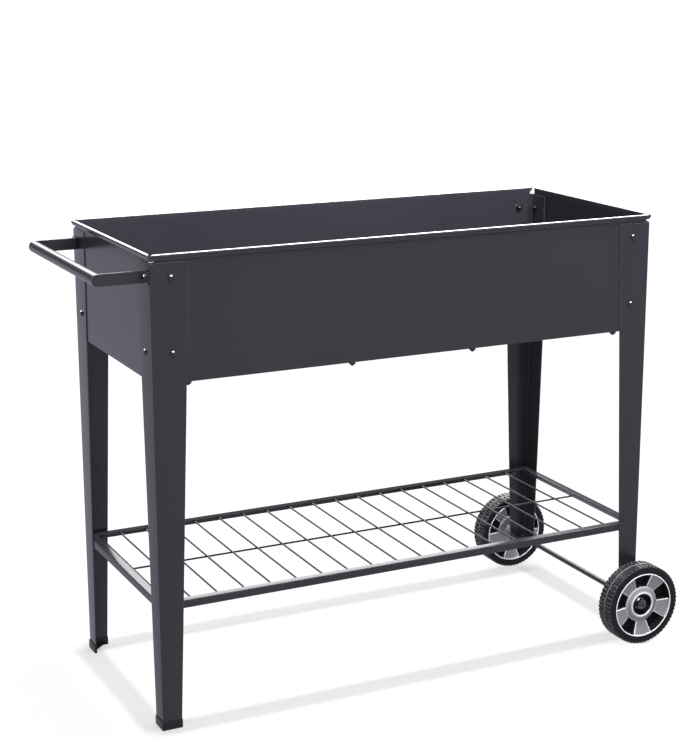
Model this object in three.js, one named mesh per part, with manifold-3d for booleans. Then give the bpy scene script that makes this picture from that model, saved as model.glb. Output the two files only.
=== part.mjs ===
import * as THREE from 'three';
import { mergeVertices } from 'three/addons/utils/BufferGeometryUtils.js';
import Module from 'manifold-3d';

// Rolling planter: a sheet-steel planting box on four tapered angle legs, with a wire shelf,
// a push handle at one end and two wheels on an axle at the other.
// Millimetres. X runs along the box (handle at -X, wheels at +X), the front is at -Y, +Z is up
// and the floor is z = 0. The pieces are set out from the middle of the box; the whole
// assembly then moves along X, so that the origin lies under the middle of its bounding box.

const wasm = await Module();
wasm.setup();

// ---------------------------------------------------------------- driving dimensions

// Planting box
const boxLength = 950; // over the rim
const boxWidth = 400; // over the rim
const rimHeight = 800; // floor to rim
const wallDepth = 209.5; // rim to the underside of the long walls
const panelSheet = 1;
const rimReach = 4.5; // rim beyond the outer face of the walls
const rimLip = 4; // straight drop of the rim's outer edge
const rimReturn = 4; // slanted drop below the lip
const rimTuck = 1.5; // how far the slanted drop runs back to the wall
const reliefWidth = 6; // slot that frees the rim from the corner bend
const reliefDepth = 12;
const mitreGap = 1.5;
const bottomFlange = 20;
const cornerTab = 46; // end tab of a long wall, inside the short wall
const plateGap = 1.5; // bottom plate to the walls
const drainHole = 9;
const drainColumns = 6;
const drainRows = 2;
const drainPitchX = 140;
const drainPitchY = 150;

// Legs, bent from one sheet to an angle whose flanges taper
const legSheet = 1.5;
const legBend = 2; // outer radius of the corner
const legTopDrop = 14; // rim to the top of the legs
const longFlangeTop = 65;
const sideFlangeTop = 60;
const flangeFoot = 33;
const axleToLegEnd = 15.5; // the right legs end this far below the axle
const footCapHeight = 15;
const footCapWall = 1.5;
const footCapSole = 3;

// Shelf
const shelfTop = 222;
const railFlange = 15;
const railDepth = 13;
const railSheet = 1.5;
const railBend = 2;
const shelfWire = 3;
const crossPitch = 48.3;
const endWireInset = 18.5;
const shelfNutGap = 0.7; // flange of the rail to the nut below it
const shelfStudLength = 9;

// Handle
const gripDiameter = 20;
const gripWall = 1.5;
const gripReach = 76.5; // leg face to the middle of the grip
const armSheet = 3;
const armBend = 1.5;
const armBoltGap = 2; // head of the bolt to the face of the arm
const armTabEnd = 6; // head of the bolt to the end of the tab

// Axle and wheels
const wheelRadius = 75.5;
const tyreWidth = 38;
const tyreStandOff = 15; // leg face to the tyre
const tyreWall = 14.5; // tread to the hub
const hubRing = 2.5;
const treadDepth = 2;
const treadRibs = 28;
const treadGroove = 3;
const sidewallBulge = 1;
const shoulderDrop = 5; // tread to the edge of the sidewall
const shoulderRun = 4; // sidewall to the start of the tread
const spokes = 5;
const spokeSteps = 3; // of the hub's facets
const windowSteps = 4;
const spokePhase = 31; // degrees from the top
const hubPlate = 33;
const hubDish = 12; // ring edge to the face of the hub plate
const hubSocket = 20;
const hubSocketRise = 4;
const hubSocketDepth = 7;
const spokeDish = 4; // ring edge to the spokes where they meet the ring
const hubStep = 2; // edge of the hub plate to the spokes
const hubBarrel = 13;
const hubWeb = 3; // disc that closes the windows, in the middle of the hub
const windowEdge = 0.7; // a window to the ring and to the foot of the step
const axleDiameter = 10;
const axleInset = 17; // from the outer face of the right legs
const axleTip = 3;
const axleNutFlats = 17;
const axleNutHeight = 8;
const washerDiameter = 22;
const washerSheet = 1.5;

// Fasteners
const boltDiameter = 6;
const boltHead = 12;
const boltHeadHeight = 3.5;
const domeSpread = 0.75; // of the head's radius, at the middle point of its dome
const domeRise = 0.75; // of the head's height, there
const nutFlats = 10;
const nutHeight = 5;
const boltTip = 2.5;
const upperBoltDrop = 38; // rim to the upper bolts, and to the handle
const lowerBoltDrop = 160;
const longBoltInset = 35; // from the outer face of the short sides
const sideUpperInset = 16; // from the outer face of the long sides
const sideLowerInset = 32;
const bottomBoltEnd = 62; // from the outer face of the short walls
const bottomBoltMiddle = 116; // from the middle of the box
const bottomBoltInset = 11; // from the outer face of the long walls

// Fits
const seat = 0.3; // small gap where rounded or cut pieces meet
const boltFit = 0.3;
const boreFit = 0.3;
const shelfFit = 0.25;

// Facets
const roundSteps = 16;
const boltSteps = 8;
const holeSteps = 8;
const wireSides = 6;
const bendSteps = 2;
const overrun = 5; // how far a cutter runs past what it cuts

// ---------------------------------------------------------------- sizes that follow

const wallX = boxLength / 2 - rimReach; // outer face of the short walls
const wallY = boxWidth / 2 - rimReach; // outer face of the long walls
const legTop = rimHeight - legTopDrop;
const upperBoltHeight = rimHeight - upperBoltDrop;
const lowerBoltHeight = rimHeight - lowerBoltDrop;
const legX = wallX + legSheet;
const legY = wallY + legSheet;
const longWallBottom = rimHeight - wallDepth;
const plateBottom = longWallBottom + panelSheet;
const plateTop = plateBottom + panelSheet;
const reliefBottom = rimHeight - reliefDepth;
const boltHole = boltDiameter / 2 + boltFit;
const longBoltX = legX - longBoltInset;
const sideUpperY = legY - sideUpperInset;
const sideLowerY = legY - sideLowerInset;
const axleX = legX - axleInset;
const hubRadius = wheelRadius - tyreWall;
const bottomBoltX = [bottomBoltEnd - wallX, -bottomBoltMiddle, bottomBoltMiddle, wallX - bottomBoltEnd];
const sideBolts = [
  [sideUpperY, upperBoltHeight],
  [sideLowerY, lowerBoltHeight],
];
const gripX = -legX - gripReach;
const armFaceY = sideUpperY - boltHead / 2 - armBoltGap;
const armTabY = sideUpperY + boltHead / 2 + armTabEnd;
const shelfX = wallX - shelfFit;
const shelfY = wallY - shelfFit;
const nutCorner = nutFlats / 2 / Math.cos(Math.PI / 6);
const studHeight = shelfTop - railSheet - shelfNutGap - nutCorner;
const wireTop = shelfTop - railSheet - seat;
const facetAngle = (2 * Math.PI) / (spokes * (spokeSteps + windowSteps));
const quarterTurn = Math.PI / 2;

// ---------------------------------------------------------------- finishes

const finish = (color, roughness, metalness) =>
  new THREE.MeshStandardMaterial({ color, roughness, metalness });
const charcoalPaint = finish(0x3c3c42, 0.45, 0.35);
const blackPlastic = finish(0x151517, 0.55, 0);
const blackRubber = finish(0x1b1b1d, 0.8, 0);
const greyPlastic = finish(0x918f96, 0.5, 0);
const blackSteel = finish(0x222226, 0.35, 0.7);

// ---------------------------------------------------------------- solids

const point = (x, y) => new THREE.Vector2(x, y);
const axisX = new THREE.Vector3(1, 0, 0);
const axisY = new THREE.Vector3(0, 1, 0);
const axisZ = new THREE.Vector3(0, 0, 1);

// A closed geometry as a solid that can be joined and cut.
function solidOf(geometry) {
  const bare = geometry.clone();
  bare.deleteAttribute('normal');
  bare.deleteAttribute('uv');
  const welded = mergeVertices(bare, 1e-4);
  return new wasm.Manifold(
    new wasm.Mesh({
      numProp: 3,
      vertProperties: welded.attributes.position.array,
      triVerts: Uint32Array.from(welded.index.array),
    }),
  );
}

function geometryOf(solid) {
  const mesh = solid.getMesh();
  const geometry = new THREE.BufferGeometry();
  geometry.setAttribute('position', new THREE.BufferAttribute(mesh.vertProperties, 3));
  geometry.setIndex(new THREE.BufferAttribute(mesh.triVerts, 1));
  geometry.computeVertexNormals();
  return geometry;
}

const joined = (solids) => solids.reduce((whole, solid) => whole.add(solid));
const cut = (solid, cutters) => cutters.reduce((whole, cutter) => whole.subtract(cutter), solid);

// A section pushed along one axis. Its two coordinates are (Y, Z) along X, (X, Z) along Y
// and (X, Y) along Z.
function extruded(section, from, to) {
  const geometry = new THREE.ExtrudeGeometry(section, { depth: to - from, bevelEnabled: false });
  return geometry.translate(0, 0, from);
}

function alongX(points, from, to) {
  const geometry = extruded(new THREE.Shape(points), from, to);
  const turn = new THREE.Matrix4().makeBasis(axisY, axisZ, axisX);
  return solidOf(geometry.applyMatrix4(turn));
}

function alongY(points, from, to) {
  const geometry = extruded(new THREE.Shape(points), -to, -from);
  const turn = new THREE.Matrix4().makeBasis(axisX, axisZ, axisY.clone().negate());
  return solidOf(geometry.applyMatrix4(turn));
}

const alongZ = (points, from, to) => solidOf(extruded(new THREE.Shape(points), from, to));

// A section turned round the Z axis. Its points are (radius, z), with the solid on their left.
function revolved(points, steps) {
  const geometry = new THREE.LatheGeometry(points, steps);
  return geometry.rotateX(quarterTurn);
}

function hole(radius, length, direction, x, y, z, steps = holeSteps) {
  const geometry = new THREE.CylinderGeometry(radius, radius, length, steps);
  const turn = new THREE.Quaternion().setFromUnitVectors(axisY, direction);
  return solidOf(geometry.applyQuaternion(turn).translate(x, y, z));
}

// A line with its inner corners rounded by the given radii.
function bentLine(corners, radii) {
  const line = [corners[0]];
  radii.forEach((radius, index) => {
    const corner = corners[index + 1];
    const back = corners[index].clone().sub(corner).normalize();
    const ahead = corners[index + 2].clone().sub(corner).normalize();
    const run = radius / Math.tan(Math.acos(back.dot(ahead)) / 2);
    const start = corner.clone().addScaledVector(back, run);
    const end = corner.clone().addScaledVector(ahead, run);
    line.push(...new THREE.QuadraticBezierCurve(start, corner, end).getPoints(bendSteps));
  });
  return [...line, corners.at(-1)];
}

// The outline of a sheet that lies along the left side of a line.
function sheetAlong(line, thickness) {
  const normals = line.slice(1).map((end, index) => {
    const run = end.clone().sub(line[index]).normalize();
    return point(-run.y, run.x);
  });
  const far = line.map((start, index) => {
    const before = normals[Math.max(index - 1, 0)];
    const after = normals[Math.min(index, normals.length - 1)];
    const offset = before.clone().add(after);
    return start.clone().addScaledVector(offset, thickness / (1 + before.dot(after)));
  });
  return [...line, ...far.reverse()];
}

const mirrored = (points, sideX, sideY) => points.map((p) => point(p.x * sideX, p.y * sideY));

const box2 = (x0, y0, x1, y1) => [point(x0, y0), point(x1, y0), point(x1, y1), point(x0, y1)];

// ---------------------------------------------------------------- planting box

// Section of a wall, as (distance outwards, z): bottom flange, wall, rim, lip and slanted return.
function wallSection(wall, bottom) {
  const lip = wall + rimReach - panelSheet;
  const under = rimHeight - panelSheet;
  const corners = [
    point(wall - bottomFlange, bottom),
    point(wall, bottom),
    point(wall, under),
    point(lip, under),
    point(lip, rimHeight - rimLip),
    point(lip - rimTuck, rimHeight - rimLip - rimReturn),
  ];
  const outerBend = 2 * panelSheet;
  const innerBend = panelSheet / 2;
  return sheetAlong(bentLine(corners, [outerBend, innerBend, innerBend, innerBend]), panelSheet);
}

// What is taken off one end of a wall: all that lies beyond its end below the relief slot, and
// above it a slot and a mitre that runs out to the corner of the rim.
function endCutters(end, wall, far, bottom) {
  const relief = far - panelSheet - reliefWidth;
  const outerEnd = far + rimReach - mitreGap;
  const beyond = far + rimReach + overrun;
  const inside = wall - bottomFlange - overrun;
  const mitre = [
    point(relief, inside),
    point(relief, wall),
    point(outerEnd, wall + rimReach),
    point(outerEnd, wall + rimReach + overrun),
    point(beyond, wall + rimReach + overrun),
    point(beyond, inside),
  ];
  const below = box2(end, inside, beyond, wall + rimReach + overrun);
  return [
    alongZ(below, bottom - overrun, reliefBottom),
    alongZ(mitre, reliefBottom, rimHeight + overrun),
  ];
}

// A wall that faces +Y. `end` is where it ends along X and `far` the outer face of the walls
// that it meets there.
function wallSolid(wall, end, far, bottom) {
  const reach = far + rimReach;
  const blank = alongX(wallSection(wall, bottom), -reach, reach);
  const flangeEnd = far - bottomFlange - seat;
  const right = endCutters(end, wall, far, bottom);
  const flangeTrim = box2(flangeEnd, wall - bottomFlange - overrun, reach, wall - panelSheet);
  right.push(alongZ(flangeTrim, bottom - overrun, bottom + panelSheet * 2));
  return cut(cut(blank, right), right.map(turnedHalf));
}

// The same cutter at the other end of the wall.
function turnedHalf(solid) {
  return solidOf(flipped(geometryOf(solid)));
}

// A geometry mirrored in X, with its faces turned to point out again.
function flipped(geometry) {
  const mirror = geometry.clone().scale(-1, 1, 1);
  const corners = mirror.index.array;
  for (let i = 0; i < corners.length; i += 3) {
    [corners[i], corners[i + 1]] = [corners[i + 1], corners[i]];
  }
  return mirror;
}

// Long wall: its ends turn round the corner as tabs that lie inside the short walls.
function longWall() {
  const end = wallX - panelSheet;
  const tab = bentLine(
    [point(end, wallY - cornerTab), point(end, wallY), point(end - bottomFlange, wallY)],
    [2 * panelSheet],
  );
  const tabBottom = plateTop + 2 * panelSheet + seat;
  const tabTop = reliefBottom - panelSheet;
  const corner = alongZ(sheetAlong(tab, panelSheet), tabBottom, tabTop);
  const square = box2(end - 2 * panelSheet, wallY - 2 * panelSheet, end + overrun, wallY + overrun);
  const cornerSpace = alongZ(square, tabBottom, tabTop);
  const trimmed = cut(wallSolid(wallY, end, wallX, longWallBottom), [
    cornerSpace,
    turnedHalf(cornerSpace),
  ]);
  const whole = joined([trimmed, corner, turnedHalf(corner)]);
  const holes = [];
  for (const side of [-1, 1]) {
    for (const [across, height] of sideBolts) {
      holes.push(hole(boltHole, overrun, axisX, side * (end - panelSheet / 2), across, height));
      holes.push(hole(boltHole, overrun, axisY, side * longBoltX, wallY, height));
    }
  }
  for (const x of bottomBoltX) {
    holes.push(hole(boltHole, overrun, axisZ, x, wallY - bottomBoltInset, longWallBottom));
  }
  return cut(whole, holes);
}

function shortWall() {
  const whole = wallSolid(wallX, wallY - panelSheet, wallY, plateTop);
  const holes = [];
  for (const side of [-1, 1]) {
    for (const [across, height] of sideBolts) {
      holes.push(hole(boltHole, overrun, axisY, side * across, wallX, height));
    }
  }
  return cut(whole, holes);
}

function bottomPlate() {
  const halfX = wallX - panelSheet - plateGap;
  const halfY = wallY - panelSheet - plateGap;
  const plate = alongZ(box2(-halfX, -halfY, halfX, halfY), plateBottom, plateTop);
  const holes = [];
  for (const x of bottomBoltX) {
    for (const side of [-1, 1]) {
      holes.push(hole(boltHole, overrun, axisZ, x, side * (wallY - bottomBoltInset), plateTop));
    }
  }
  for (let column = 0; column < drainColumns; column += 1) {
    for (let row = 0; row < drainRows; row += 1) {
      const x = (column - (drainColumns - 1) / 2) * drainPitchX;
      const y = (row - (drainRows - 1) / 2) * drainPitchY;
      holes.push(hole(drainHole / 2, overrun, axisZ, x, y, plateTop));
    }
  }
  return cut(plate, holes);
}

// ---------------------------------------------------------------- legs and feet

// Sections here are drawn for the corner at +X +Y, from the outer corner of the leg, and then
// mirrored to the side that they belong to.
const flangeAt = (top, height) => flangeFoot + ((top - flangeFoot) * height) / legTop;

function taper(flange, from, to) {
  return [
    point(overrun, from - overrun),
    point(overrun, to + overrun),
    point(-flangeAt(flange, to + overrun), to + overrun),
    point(-flangeAt(flange, from - overrun), from - overrun),
  ];
}

function angleLine(longLeg, sideLeg, outset) {
  const corners = [
    point(outset, -sideLeg),
    point(outset, outset),
    point(-longLeg, outset),
  ];
  return bentLine(corners, [legBend + outset]);
}

function legSolid(sideX, sideY) {
  const bottom = sideX > 0 ? wheelRadius - axleToLegEnd : footCapSole + seat;
  const section = sheetAlong(angleLine(longFlangeTop, sideFlangeTop, 0), legSheet);
  const angle = alongZ(mirrored(section, sideX, sideY), bottom, legTop);
  const alongFront = mirrored(taper(longFlangeTop, bottom, legTop), sideX, 1);
  const alongSide = mirrored(taper(sideFlangeTop, bottom, legTop), sideY, 1);
  const deep = longFlangeTop + sideFlangeTop;
  const tapered = angle
    .intersect(alongY(alongFront, -deep, deep))
    .intersect(alongX(alongSide, -deep, deep));
  const whole = tapered.add(shelfStud(sideX, sideY));
  const holes = [
    hole(boltHole, overrun, axisY, -sideX * longBoltInset, 0, upperBoltHeight),
    hole(boltHole, overrun, axisY, -sideX * longBoltInset, 0, lowerBoltHeight),
    hole(boltHole, overrun, axisX, 0, -sideY * sideUpperInset, upperBoltHeight),
    hole(boltHole, overrun, axisX, 0, -sideY * sideLowerInset, lowerBoltHeight),
  ];
  if (sideX > 0) {
    const bore = axleDiameter / 2 + boreFit;
    holes.push(hole(bore, overrun, axisY, -sideX * axleInset, 0, wheelRadius, roundSteps));
  }
  return cut(whole, holes);
}

// Threaded stud welded to the inner face of the leg, which the shelf is nutted to.
function shelfStud(sideX, sideY) {
  const length = shelfStudLength + legSheet / 2;
  const middle = legSheet / 2 + length / 2;
  const radius = boltDiameter / 2;
  return hole(radius, length, axisY, -sideX * longBoltInset, -sideY * middle, studHeight);
}

function footCap(sideX, sideY) {
  const reach = flangeFoot + footCapWall;
  const inner = -footCapWall - legSheet;
  const outside = [
    ...angleLine(reach, reach, footCapWall),
    point(-reach, inner),
    point(inner, inner),
    point(inner, -reach),
  ];
  const slotLeg = flangeAt(longFlangeTop, footCapHeight) + seat;
  const slot = sheetAlong(angleLine(slotLeg, slotLeg, seat), legSheet + 2 * seat);
  const body = alongZ(mirrored(outside, sideX, sideY), 0, footCapHeight);
  const room = alongZ(mirrored(slot, sideX, sideY), footCapSole, footCapHeight + overrun);
  return body.subtract(room);
}

// ---------------------------------------------------------------- shelf

// An angle rail along X that faces +Y, mitred at both ends.
function shelfRail(reachX, reachY, studs) {
  const line = [
    point(reachY, shelfTop - railDepth),
    point(reachY, shelfTop),
    point(reachY - railFlange, shelfTop),
  ];
  const section = sheetAlong(bentLine(line, [railBend]), railSheet);
  const blank = alongX(section, -reachX, reachX);
  const endGap = seat / 2;
  const inner = reachY - railFlange - overrun;
  const mitre = [
    point(-reachX - overrun + endGap, reachY + overrun),
    point(-reachX + reachY - inner + endGap, inner),
    point(reachX - reachY + inner - endGap, inner),
    point(reachX + overrun - endGap, reachY + overrun),
  ];
  const rail = blank.intersect(alongZ(mitre, 0, shelfTop + overrun));
  const holes = studs.map((x) => hole(boltHole, overrun, axisY, x, reachY, studHeight));
  return cut(rail, holes);
}

function wire(length, direction, x, y, z) {
  const radius = shelfWire / 2;
  const geometry = new THREE.CylinderGeometry(radius, radius, length, wireSides);
  const turn = new THREE.Quaternion().setFromUnitVectors(axisY, direction);
  return solidOf(geometry.applyQuaternion(turn).translate(x, y, z));
}

// Cross wires under the rail flanges, welded to one long wire that runs below them.
function wireMesh() {
  const crossLength = 2 * (shelfY - railSheet - seat);
  const crossHeight = wireTop - shelfWire / 2;
  const longHeight = crossHeight - shelfWire + seat;
  const endX = shelfX - endWireInset;
  const wires = [wire(2 * (shelfX - railSheet - seat), axisX, 0, 0, longHeight)];
  for (const x of [-endX, endX]) {
    wires.push(wire(crossLength, axisY, x, 0, crossHeight));
  }
  const crossWires = Math.floor((2 * endX) / crossPitch);
  for (let index = 0; index < crossWires; index += 1) {
    const x = (index - (crossWires - 1) / 2) * crossPitch;
    wires.push(wire(crossLength, axisY, x, 0, crossHeight));
  }
  return joined(wires);
}

// ---------------------------------------------------------------- handle

// Flat bar on the +Y side: a tab against the leg, then an arm that ends round behind the grip.
function handleArm(sideY) {
  const tabFace = -legX - armSheet;
  const radius = gripDiameter / 2;
  const corners = [
    point(gripX - radius - overrun, armFaceY),
    point(tabFace, armFaceY),
    point(tabFace, armTabY),
  ];
  const line = bentLine(corners, [armBend]).reverse();
  const section = mirrored(sheetAlong(line, armSheet), 1, sideY);
  const bar = alongZ(section, upperBoltHeight - radius, upperBoltHeight + radius);
  const side = [point(-legX + overrun, upperBoltHeight - radius)];
  side.push(point(-legX + overrun, upperBoltHeight + radius));
  for (let step = 0; step <= roundSteps / 2; step += 1) {
    const angle = quarterTurn + (step * 2 * Math.PI) / roundSteps;
    const z = upperBoltHeight + radius * Math.sin(angle);
    side.push(point(gripX + radius * Math.cos(angle), z));
  }
  const outline = alongY(side, -boxWidth, boxWidth);
  const bolt = hole(boltHole, 2 * overrun, axisX, -legX, sideY * sideUpperY, upperBoltHeight);
  return bar.intersect(outline).subtract(bolt);
}

function tube(outer, inner, from, to, steps) {
  return revolved(
    [point(inner, from), point(outer, from), point(outer, to), point(inner, to), point(inner, from)],
    steps,
  );
}

// ---------------------------------------------------------------- wheels
// Drawn round the Z axis, with z = 0 at the outer face of the leg and +Z pointing away from it.

const tyreInner = tyreStandOff;
const tyreOuter = tyreStandOff + tyreWidth;
const tyreMiddle = (tyreInner + tyreOuter) / 2;
const hubStart = seat + washerSheet + seat;
const plateFace = tyreOuter - hubDish;
const socketRim = plateFace + hubSocketRise;
const socketFloor = socketRim - hubSocketDepth;
const outerWasherStart = socketFloor + seat;
const axleNutStart = outerWasherStart + washerSheet + seat;
const axleEnd = axleNutStart + axleNutHeight + axleTip;

function tyre() {
  const bead = hubRadius + seat;
  const half = tyreWidth / 2;
  const treadHalf = half - shoulderRun;
  const groove = treadGroove / 2;
  const outer = [
    point(bead, -half + sidewallBulge),
    point(bead + sidewallBulge * 2, -half),
    point(wheelRadius - shoulderDrop, -half + sidewallBulge),
    point(wheelRadius - treadDepth, -treadHalf),
  ];
  const row = [point(wheelRadius, -treadHalf + treadDepth), point(wheelRadius, -groove)];
  const rise = [...outer, ...row];
  const fall = rise.map((p) => point(p.x, -p.y)).reverse();
  const base = wheelRadius - treadDepth;
  const profile = [...rise, point(base, -groove / 2), point(base, groove / 2), ...fall, rise[0]];
  const geometry = revolved(profile, treadRibs * 2);
  pressTread(geometry, profile, base);
  return geometry.translate(0, 0, tyreMiddle);
}

// Lowers every other step of the tread, by turns in its two rows, so that ribs stand between.
function pressTread(geometry, profile, base) {
  const spots = geometry.attributes.position;
  for (let index = 0; index < spots.count; index += 1) {
    const place = profile[index % profile.length];
    const step = Math.floor(index / profile.length);
    const low = (step + (place.y > 0 ? 1 : 0)) % 2 === 1;
    if (place.x === wheelRadius && low) {
      const scale = base / wheelRadius;
      spots.setXY(index, spots.getX(index) * scale, spots.getY(index) * scale);
    }
  }
}

function hubProfile() {
  const bore = axleDiameter / 2 + boreFit;
  const ringInner = hubRadius - hubRing;
  const spokeStart = hubPlate + hubStep;
  const plateBack = tyreInner + hubDish;
  return [
    point(bore, hubStart),
    point(hubBarrel, hubStart),
    point(hubBarrel, plateBack),
    point(hubPlate, plateBack),
    point(spokeStart, plateBack + hubStep),
    point(ringInner, tyreInner + spokeDish),
    point(ringInner, tyreInner),
    point(hubRadius, tyreInner),
    point(hubRadius, tyreOuter),
    point(ringInner, tyreOuter),
    point(ringInner, tyreOuter - spokeDish),
    point(spokeStart, plateFace - hubStep),
    point(hubPlate, plateFace),
    point(hubSocket, socketRim),
    point(hubSocket, socketFloor),
    point(bore, socketFloor),
    point(bore, hubStart),
  ];
}

// One blind window between two spokes, from both faces down to the web.
function hubWindow(first) {
  const inner = hubPlate + hubStep + windowEdge;
  const outer = hubRadius - hubRing - windowEdge;
  const rim = [];
  const root = [];
  for (let step = 0; step <= windowSteps; step += 1) {
    const angle = (first + step) * facetAngle;
    rim.push(point(outer * Math.cos(angle), outer * Math.sin(angle)));
    root.unshift(point(inner * Math.cos(angle), inner * Math.sin(angle)));
  }
  const outline = [...rim, ...root];
  const rise = hubWeb / 2;
  return [
    alongZ(outline, tyreInner - overrun, tyreMiddle - rise),
    alongZ(outline, tyreMiddle + rise, tyreOuter + overrun),
  ];
}

function wheelHub() {
  const facets = spokes * (spokeSteps + windowSteps);
  const windows = [];
  for (let index = 0; index < spokes; index += 1) {
    windows.push(...hubWindow(index * (spokeSteps + windowSteps)));
  }
  return cut(solidOf(revolved(hubProfile(), facets)), windows);
}

function hexagon(flats, from, to) {
  const radius = flats / 2 / Math.cos(Math.PI / 6);
  const geometry = new THREE.CylinderGeometry(radius, radius, to - from, 6);
  return geometry.rotateX(quarterTurn).translate(0, 0, (from + to) / 2);
}

function axleNut() {
  const bore = axleDiameter / 2 + boreFit;
  const blank = solidOf(hexagon(axleNutFlats, axleNutStart, axleNutStart + axleNutHeight));
  return blank.subtract(hole(bore, 4 * axleNutHeight, axisZ, 0, 0, axleNutStart, roundSteps));
}

function axle() {
  const half = legY + axleEnd;
  const radius = axleDiameter / 2;
  const chamfer = axleTip / 3;
  const geometry = revolved(
    [
      point(0, -half),
      point(radius - chamfer, -half),
      point(radius, -half + chamfer),
      point(radius, half - chamfer),
      point(radius - chamfer, half),
      point(0, half),
    ],
    roundSteps,
  );
  return geometry;
}

// ---------------------------------------------------------------- fasteners
// Drawn along Z, with the head above z = 0 and what it clamps below.

function bolt(grip) {
  const shank = boltDiameter / 2;
  const end = -grip - nutHeight - boltTip;
  const head = boltHead / 2;
  const geometry = revolved(
    [
      point(0, end),
      point(shank, end),
      point(shank, 0),
      point(head, 0),
      point(head * domeSpread, boltHeadHeight * domeRise),
      point(0, boltHeadHeight),
    ],
    boltSteps,
  );
  return solidOf(geometry).add(solidOf(hexagon(nutFlats, -grip - nutHeight, -grip)));
}

function shelfNut() {
  const radius = boltDiameter / 2 + boltFit;
  const blank = solidOf(hexagon(nutFlats, 0, nutHeight));
  return blank.subtract(hole(radius, 4 * nutHeight, axisZ, 0, 0, 0));
}

// ---------------------------------------------------------------- assembly

const planter = new THREE.Group();
const frame = new THREE.Group();
planter.add(frame);

function addPart(name, shape, material, position = [0, 0, 0], rotation = [0, 0, 0], parent = frame) {
  const geometry = shape.isBufferGeometry ? shape : geometryOf(shape);
  const mesh = new THREE.Mesh(geometry, material);
  mesh.name = name;
  mesh.position.set(...position);
  mesh.rotation.set(...rotation);
  parent.add(mesh);
  return mesh;
}

const longWallGeometry = geometryOf(longWall());
const shortWallGeometry = geometryOf(shortWall());
addPart('rear_panel', longWallGeometry, charcoalPaint);
addPart('front_panel', longWallGeometry, charcoalPaint, [0, 0, 0], [0, 0, Math.PI]);
addPart('left_panel', shortWallGeometry, charcoalPaint, [0, 0, 0], [0, 0, quarterTurn]);
addPart('right_panel', shortWallGeometry, charcoalPaint, [0, 0, 0], [0, 0, -quarterTurn]);
addPart('bottom_panel', bottomPlate(), charcoalPaint);

const corners = [
  ['front_left', -1, -1],
  ['rear_left', -1, 1],
  ['front_right', 1, -1],
  ['rear_right', 1, 1],
];

for (const [place, sideX, sideY] of corners) {
  const foot = [sideX * legX, sideY * legY, 0];
  addPart(`leg_${place}`, legSolid(sideX, sideY), charcoalPaint, foot);
  if (sideX < 0) {
    addPart(`foot_cap_${place}`, footCap(sideX, sideY), blackPlastic, foot);
  }
}

const longRail = geometryOf(shelfRail(shelfX, shelfY, [-longBoltX, longBoltX]));
const shortRail = geometryOf(shelfRail(shelfY, shelfX, []));
addPart('shelf_rail_rear', longRail, charcoalPaint);
addPart('shelf_rail_front', longRail, charcoalPaint, [0, 0, 0], [0, 0, Math.PI]);
addPart('shelf_rail_left', shortRail, charcoalPaint, [0, 0, 0], [0, 0, quarterTurn]);
addPart('shelf_rail_right', shortRail, charcoalPaint, [0, 0, 0], [0, 0, -quarterTurn]);
addPart('shelf_wire_mesh', wireMesh(), charcoalPaint);

const gripHalf = armFaceY - armSheet - seat;
const grip = tube(gripDiameter / 2, gripDiameter / 2 - gripWall, -gripHalf, gripHalf, roundSteps);
addPart('handle_arm_front', handleArm(-1), charcoalPaint);
addPart('handle_arm_rear', handleArm(1), charcoalPaint);
addPart('handle_grip', grip, charcoalPaint, [gripX, 0, upperBoltHeight], [quarterTurn, 0, 0]);

const boltLengths = {
  long: geometryOf(bolt(legSheet + panelSheet)),
  side: geometryOf(bolt(legSheet + 2 * panelSheet)),
  handle: geometryOf(bolt(armSheet + legSheet + 2 * panelSheet)),
  bottom: geometryOf(bolt(2 * panelSheet)),
};
const nutGeometry = geometryOf(shelfNut());

for (const [place, sideX, sideY] of corners) {
  const outY = [-sideY * quarterTurn, 0, 0];
  const outX = [0, sideX * quarterTurn, 0];
  const inY = [sideY * quarterTurn, 0, 0];
  const x = sideX * longBoltX;
  const y = sideY * legY;
  addPart(`leg_bolt_upper_${place}`, boltLengths.long, blackSteel, [x, y, upperBoltHeight], outY);
  addPart(`leg_bolt_lower_${place}`, boltLengths.long, blackSteel, [x, y, lowerBoltHeight], outY);
  const lowerY = sideY * sideLowerY;
  const lower = [sideX * legX, lowerY, lowerBoltHeight];
  addPart(`side_bolt_lower_${place}`, boltLengths.side, blackSteel, lower, outX);
  const onHandle = sideX < 0;
  const face = onHandle ? legX + armSheet : legX;
  const upperName = onHandle ? `handle_bolt_${place}` : `side_bolt_upper_${place}`;
  const upperBolt = onHandle ? boltLengths.handle : boltLengths.side;
  const upper = [sideX * face, sideY * sideUpperY, upperBoltHeight];
  addPart(upperName, upperBolt, blackSteel, upper, outX);
  const nutY = sideY * (shelfY - railSheet);
  addPart(`shelf_nut_${place}`, nutGeometry, blackSteel, [x, nutY, studHeight], inY);
}

for (const [place, sideY] of [['front', -1], ['rear', 1]]) {
  const y = sideY * (wallY - bottomBoltInset);
  bottomBoltX.forEach((x, index) => {
    addPart(`bottom_bolt_${place}_${index + 1}`, boltLengths.bottom, blackSteel, [x, y, plateTop]);
  });
}

addPart('axle', axle(), blackSteel, [axleX, 0, wheelRadius], [quarterTurn, 0, 0]);

const tyreGeometry = tyre();
const hubGeometry = geometryOf(wheelHub());
const axleNutGeometry = geometryOf(axleNut());
const washerBore = axleDiameter / 2 + boreFit;
const washerGeometry = tube(washerDiameter / 2, washerBore, 0, washerSheet, roundSteps);

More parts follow.
